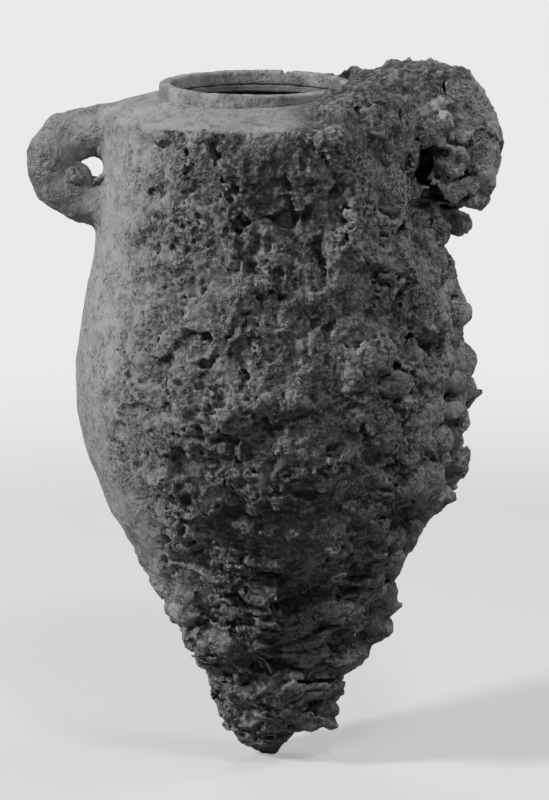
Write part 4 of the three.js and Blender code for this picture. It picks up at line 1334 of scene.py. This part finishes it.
class JAR_OT_clay(bpy.types.Operator):
    """Makes the thrown clay: three sections of wall and the shoulder's inside, and finishes the buried clay"""
    bl_idname = "jar.clay"
    bl_label = "Clay wall and shoulder"

    def execute(self, context):
        def thrown(points):
            rings = 0.45 * np.sin(points[:, 2] / 1.9 + waves(points, 60, 40) * 2)
            return rings + mixed(points, (0.5, 14, 41), (0.25, 4, 42))

        def gritty(points):
            return 0.7 * waves(points, 9, 43) + 0.8 * np.clip(waves(points, 4, 44), 0, 1)

        sections = {"wall_cone": (60, 152.6), "wall_belly": (153, 312.7), "wall_waist": (313, 483.5)}
        for name, (low, high) in sections.items():
            heights = np.arange(low, high, 2.5)
            heights = np.append(heights, high)
            outside = [(inner_radius(z) - 1, z) for z in heights]
            inside = [(inner_radius(z) - WALL_THICKNESS, z) for z in heights[::-1]]
            points, faces, normals = turned_mesh(outside + inside, 180, thrown)
            made = mesh_object(f"thrown_{name}", points, faces, NO_TRIANGLES, normals, {})
            join_frame(made, clay_finish(), "clay", *([] if name == "wall_waist" else [name]))
        radii = np.linspace(111, 72, 20)
        top = [(r, EDGE_HEIGHT + 1 - SHOULDER_SLOPE * (r - EDGE_RADIUS) - 2.5) for r in radii]
        neck = [(RIM_INNER, z) for z in np.arange(RIM_LOW - 0.2, 496, -1.2)]
        under = [(r, 496.5 - 12 * (r - RIM_INNER) / 40) for r in np.linspace(RIM_INNER + 1.5, 103, 20)]
        edge = [(109, 484), (111, 484.5)]
        outline = (top + neck + under + edge)[::-1]
        points, faces, normals = turned_mesh(outline, 240, gritty)
        made = mesh_object("thrown_shoulder", points, faces, NO_TRIANGLES, normals, {})
        join_frame(made, clay_finish(), "clay")
        for name in ("toe_plug", "handle_right"):
            node = frame["nodes"][name]
            node.data.materials.clear()
            node.data.materials.append(clay_finish())
        return {"FINISHED"}


class SkinMaker:
    """Makes each piece of the skin that rows() names, by node, finish, slot and, if it has its own, name."""

    def execute(self, context):
        for row in self.rows():
            skin_piece(*row)
        return {"FINISHED"}


class JAR_OT_films(SkinMaker, bpy.types.Operator):
    """Makes the lime film on the shoulder and the left flank"""
    bl_idname = "jar.films"
    bl_label = "Lime films"

    def rows(self):
        return [("shoulder", lime_finish(), "limed_clay"),
                ("wall_waist", lime_finish(), "limed_clay", "weathered_film_waist_left")]


class JAR_OT_plates(SkinMaker, bpy.types.Operator):
    """Makes the crust on the cone, the belly, the waist, the foot and the right of the shoulder"""
    bl_idname = "jar.plates"
    bl_label = "Crust"

    def rows(self):
        return [(name, crust_finish(), "crust") for name in sorted(frame["nodes"]) if name.startswith("crust_")]


class JAR_OT_left_ear(SkinMaker, bpy.types.Operator):
    """Makes the left ear with the lump that grew in it"""
    bl_idname = "jar.left_ear"
    bl_label = "Left ear"

    def rows(self):
        return [("handle_left", lime_finish(), "limed_clay"), ("ear_lump_left", lime_finish(), "growth")]


class JAR_OT_right_ear(SkinMaker, bpy.types.Operator):
    """Makes the masses that bury the right ear"""
    bl_idname = "jar.right_ear"
    bl_label = "Right ear"

    def rows(self):
        return [(name, growth_finish(), "growth") for name in EAR_MASSES]


class JAR_OT_nodules(SkinMaker, bpy.types.Operator):
    """Makes the round growths on the right and at the back"""
    bl_idname = "jar.nodules"
    bl_label = "Nodules"

    def rows(self):
        return [(name, growth_finish(), "growth") for name in NODULES]


class JAR_OT_rim(bpy.types.Operator):
    """Makes the rim, with its chip, crack and pitted edge"""
    bl_idname = "jar.rim"
    bl_label = "Rim"

    def execute(self, context):
        pitch = 0.9

        def ring(points, _):
            angle, radius = turn_of(points)
            wobble = 0.7 * waves(points, 40, 50)
            middle = (RIM_OUTER + RIM_INNER) / 2
            across = np.abs(radius - middle + wobble * 0.5) - (RIM_OUTER - RIM_INNER) / 2 + 2
            along = np.abs(points[:, 2] - (RIM_LOW + RIM_TOP) / 2 + wobble * 0.3) - (RIM_TOP - RIM_LOW) / 2 + 2
            corner = np.hypot(np.maximum(across, 0), np.maximum(along, 0)) + np.minimum(
                np.maximum(across, along), 0) - 2
            low = smooth(RIM_LOW + 4, RIM_LOW, points[:, 2]) * smooth(68, 72, radius)
            corner += (1.2 + 4.5 * low) * pits(points, 5, 51, 0.55)
            corner -= mixed(points, (0.3, 6, 52), (0.25, 2.6, 53))
            away = (angle - 163 - 1.5 * waves(points, 5, 54)) * math.radians(68)
            groove = np.abs(away) - 0.8
            corner = soft_max(corner, -np.maximum(groove, RIM_TOP - 3 - points[:, 2]), 1)
            chip = ball_distance(points, (22, 64, RIM_TOP + 1), (5, 4.5, 3.5))
            return soft_max(corner, -chip, 1.5)

        low, high = (-78, -78, RIM_LOW - 4), (78, 78, RIM_TOP + 4)
        values = filled_lattice(low, high, pitch, [(4, ring, 14), (1, ring, 0)])
        points, faces = largest_part(*skin_of(values, low, pitch))
        normals = normals_of(points, faces)
        near = settled(points, faces, 3)
        far = settled(near, faces, 6)
        # The rim's hollows are read more strongly, so that its finish paints more shade in its pits.
        readings = {
            "hollow": np.einsum("ij,ij->i", near - points, normals) * 1.4,
            "dip": np.einsum("ij,ij->i", far - points, normals), "rough": np.full(len(points), 0.1),
            "deposit_and_shade": 0.3 + 0.8 * waves(points.astype(FLOAT), 16, 68), "lime": np.ones(len(points)),
        }
        made = mesh_object("weathered_rim", points, faces, NO_TRIANGLES, normals, readings)
        join_frame(made, lime_finish(), "limed_clay", "rim")
        return {"FINISHED"}


def touch(angle, height):
    """The outermost point of the made skin at an angle in degrees and a height, and its normal."""
    turn = math.radians(angle)
    outward = Vector((math.sin(turn), -math.cos(turn), 0))
    best = None
    for made in bpy.data.objects:
        if made.type == "MESH" and made.name.startswith("weathered_crust"):
            hit, place, normal, _ = made.ray_cast(outward * 0.3 + Vector((0, 0, height * MM)), -outward)
            if hit and (best is None or place.dot(outward) > best[0].dot(outward)):
                best = place, normal
    if best is None:
        raise RuntimeError(f"no skin at {angle} degrees, {height} mm")
    return np.array(best[0]) / MM, np.array(best[1])


def tube_mesh(path, radii, sides=14):
    """Points, faces, triangles and normals of a tube along a path, closed at its ends."""
    path = np.array(path, float)
    ahead = np.gradient(path, axis=0)
    ahead /= np.linalg.norm(ahead, axis=1, keepdims=True)
    side = np.cross(ahead[0], [0.3, 0.2, 0.9])
    points = []
    for place, direction, radius in zip(path, ahead, radii):
        side = side - direction * (side @ direction)
        side /= np.linalg.norm(side)
        other = np.cross(direction, side)
        turn = np.linspace(0, 2 * math.pi, sides, endpoint=False)[:, None]
        points.append(place + radius * (np.cos(turn) * side + np.sin(turn) * other))
    points = np.concatenate(points)
    rows = len(path)
    i, j = np.meshgrid(np.arange(rows - 1), np.arange(sides), indexing="ij")
    k = (j + 1) % sides
    quads = np.stack([i * sides + j, i * sides + k, (i + 1) * sides + k, (i + 1) * sides + j], -1).reshape(-1, 4)
    normals = normals_of(points, quads)
    first, last = len(points), len(points) + 1
    tips = [path[:1] + 0.8 * radii[0] * ahead[:1], path[-1:] - 1.2 * radii[-1] * ahead[-1:]]
    points = np.concatenate([points, *tips])
    normals = np.concatenate([normals, -ahead[:1], ahead[-1:]])
    turn = np.arange(sides)
    nexts = (turn + 1) % sides
    end = (rows - 1) * sides
    caps = [np.stack([np.full(sides, first), nexts, turn], 1),
            np.stack([np.full(sides, last), end + turn, end + nexts], 1)]
    return points, quads, np.concatenate(caps), normals


class JAR_OT_worm_tubes(bpy.types.Operator):
    """Makes the two curls of worm tube low on the front"""
    bl_idname = "jar.worm_tubes"
    bl_label = "Worm tubes"

    def execute(self, context):
        curls = {
            "worm_tube_curl_upper": (36, 157, 5, 1.0), "worm_tube_curl_lower": (43, 140, 5.5, 0.6),
        }
        for name, (angle, height, curl, turns) in curls.items():
            path, radii = [], []
            for share in np.linspace(0, 1, 60):
                turn = share * turns * 2 * math.pi
                reach = curl * (0.45 + 0.55 * share)
                up = height + reach * math.sin(turn)
                sideways = angle + math.degrees(reach * math.cos(turn) / 85)
                place, normal = touch(sideways, up)
                path.append(place)
                radii.append(0.75 + 0.35 * share + 0.1 * math.sin(share * 150))
            path = np.array(path)
            kernel = np.hanning(9) / np.hanning(9).sum()
            padded = np.concatenate([path[:1].repeat(4, 0), path, path[-1:].repeat(4, 0)])
            path = np.stack([np.convolve(padded[:, k], kernel, "valid") for k in range(3)], 1)
            out = path * [1, 1, 0]
            path += out / np.linalg.norm(out, axis=1, keepdims=True) * 1.2
            made = mesh_object(f"weathered_{name}", *tube_mesh(path, radii), {})
            join_frame(made, shell_finish(), "shell_lime", name)
        return {"FINISHED"}


class JAR_OT_shell(bpy.types.Operator):
    """Makes the broken shell that stands on edge low on the front"""
    bl_idname = "jar.shell"
    bl_label = "Shell"

    def execute(self, context):
        middle, _ = touch(-3, 81)
        rows, columns = 40, 24
        outer, inner = [], []
        for i in range(rows):
            bow = math.pi * (0.12 + 0.8 * i / (rows - 1))
            for j in range(columns):
                depth = j / (columns - 1)
                ragged = 1 + 0.1 * math.sin(bow * 9) + 0.05 * math.sin(bow * 23)
                radius = 13.5 * (1 - 0.35 * (1 - depth)) * (1 + 0.02 * math.sin(depth * 40))
                place = np.array([radius * math.cos(bow), 9 - 17 * depth * ragged, radius * math.sin(bow) * 0.75])
                for store, thin in ((outer, 0.0), (inner, 1.3 - 0.6 * depth)):
                    bent = place * [1 - thin / 14, 1, 1 - thin / 14]
                    tilt = 0.5
                    x = bent[0] * math.cos(tilt) + bent[2] * math.sin(tilt)
                    z = -bent[0] * math.sin(tilt) + bent[2] * math.cos(tilt)
                    store.append(middle + [x, bent[1], z])
        points = np.array(outer + inner)
        count = rows * columns
        i, j = np.meshgrid(np.arange(rows - 1), np.arange(columns - 1), indexing="ij")
        a = (i * columns + j).ravel()
        b, c, d = a + columns, a + columns + 1, a + 1
        quads = [np.stack([a, b, c, d], 1), np.stack([a, d, c, b], 1) + count]
        line = np.arange(columns - 1)
        for edge in (line, line + (rows - 1) * columns):
            quads.append(np.stack([edge, edge + 1, edge + 1 + count, edge + count], 1))
        line = np.arange(rows - 1) * columns
        for edge in (line, line + columns - 1):
            quads.append(np.stack([edge, edge + count, edge + columns + count, edge + columns], 1))
        quads = np.concatenate(quads)
        made = mesh_object("weathered_shell_front", points, quads, NO_TRIANGLES,
                           normals_of(points, quads), {})
        join_frame(made, shell_finish(), "shell_lime", "shell_front")
        return {"FINISHED"}


def point_at(made, place, aim):
    """Puts a lamp or the camera at a place and turns it to its aim."""
    made.location = place
    made.rotation_euler = (aim - made.location).to_track_quat("-Z", "Y").to_euler()


class JAR_OT_stage(bpy.types.Operator):
    """Makes the floor, the light and the camera"""
    bl_idname = "jar.stage"
    bl_label = "Stage"

    def execute(self, context):
        scene = context.scene
        stage = scene.jar_stage
        mesh = bpy.data.meshes.new("floor")
        reach = 40
        mesh.from_pydata([(-reach, -reach, 0), (reach, -reach, 0), (reach, reach, 0), (-reach, reach, 0)], [],
                         [(0, 1, 2, 3)])
        floor = bpy.data.objects.new("floor", mesh)
        scene.collection.objects.link(floor)
        material = bpy.data.materials.new("Floor")
        graph = fresh_graph(material)
        place = graph.add("ShaderNodeTexCoord").outputs["Object"]
        away = graph.add("ShaderNodeVectorMath", {"operation": "LENGTH"}, _0=place).outputs["Value"]
        mottle = graph.ramp(graph.noise(place, 3.0, 3.0), 0.3, 0.7)
        pale = graph.mix(mottle, shade(stage.floor, 0.97), shade(stage.floor))
        seen = graph.seen()
        matt = graph.add("ShaderNodeBsdfDiffuse", Color=graph.mix(seen, (0.2, 0.2, 0.2, 1), pale))
        glow = graph.add("ShaderNodeEmission", Color=(0.82, 0.82, 0.82, 1), Strength=1.0)
        share = graph.times(graph.math("MAXIMUM", graph.ramp(away, 0.3, 1.6), 0.45), seen)
        both = graph.add("ShaderNodeMixShader", _0=share, _1=matt.outputs[0], _2=glow.outputs[0])
        graph.add("ShaderNodeOutputMaterial", Surface=both.outputs[0])
        mesh.materials.append(material)

        scene.world = bpy.data.worlds.new("Room")
        graph = fresh_graph(scene.world)
        strength = graph.ramp(graph.seen(), 0.0, 1.0, stage.sky, 0.82)
        air = graph.add("ShaderNodeBackground", Color=(1, 1, 1, 1), Strength=strength)
        graph.add("ShaderNodeOutputWorld", Surface=air.outputs[0])

        lamps = {
            "key": ((-2.5, -1.0, 1.9), stage.key_power, 0.4),
            "fill": ((0.7, -2.1, 3.3), stage.fill_power, 0.6),
            "right": ((2.6, 0.5, 2.4), 0.8 * stage.fill_power, 1.0),
            "back": ((-0.6, 2.7, 2.2), 0.6 * stage.fill_power, 1.0),
        }
        for name, (place, power, size) in lamps.items():
            light = bpy.data.lights.new(name, "AREA")
            light.energy = power
            light.size = size
            lamp = bpy.data.objects.new(name, light)
            point_at(lamp, Vector(place), Vector((0, 0, 0.28)))
            scene.collection.objects.link(lamp)

        camera = bpy.data.cameras.new("camera")
        camera.sensor_fit = "VERTICAL"
        camera.sensor_height = 24
        camera.lens = camera.sensor_height * stage.distance / FRAME_HEIGHT
        camera.clip_end = 100
        taker = bpy.data.objects.new("camera", camera)
        rise = math.radians(CAMERA_RISE)
        aim = Vector(CAMERA_AIM)
        point_at(taker, aim + stage.distance * Vector((0, -math.cos(rise), math.sin(rise))), aim)
        scene.collection.objects.link(taker)
        scene.camera = taker
        scene.view_settings.view_transform = "Standard"
        return {"FINISHED"}


STEPS = (
    JAR_OT_clay, JAR_OT_films, JAR_OT_plates, JAR_OT_left_ear, JAR_OT_right_ear, JAR_OT_nodules, JAR_OT_rim,
    JAR_OT_worm_tubes, JAR_OT_shell, JAR_OT_stage,
)


class JAR_PT_panel(bpy.types.Panel):
    """Lists the jar's makers and settings"""
    bl_idname = "JAR_PT_panel"
    bl_label = "Crusted jar"
    bl_space_type = "VIEW_3D"
    bl_region_type = "UI"
    bl_category = "Jar"

    def draw(self, context):
        for settings in (context.scene.jar_skin, context.scene.jar_finish, context.scene.jar_stage):
            box = self.layout.box()
            for name in settings.__annotations__:
                box.prop(settings, name)
        for step in STEPS:
            self.layout.operator(step.bl_idname)


CLASSES = (JarSkin, JarFinish, JarStage, *STEPS, JAR_PT_panel)


def register():
    """Registers the settings, the operators and the panel."""
    for made in CLASSES:
        bpy.utils.register_class(made)
    bpy.types.Scene.jar_skin = bpy.props.PointerProperty(type=JarSkin)
    bpy.types.Scene.jar_finish = bpy.props.PointerProperty(type=JarFinish)
    bpy.types.Scene.jar_stage = bpy.props.PointerProperty(type=JarStage)


def unregister():
    """Takes the settings, the operators and the panel away again."""
    del bpy.types.Scene.jar_skin
    del bpy.types.Scene.jar_finish
    del bpy.types.Scene.jar_stage
    for made in reversed(CLASSES):
        bpy.utils.unregister_class(made)


def main():
    register()
    for step in STEPS:
        group, name = step.bl_idname.split(".")
        getattr(getattr(bpy.ops, group), name)()


if __name__ == "__main__":
    main()
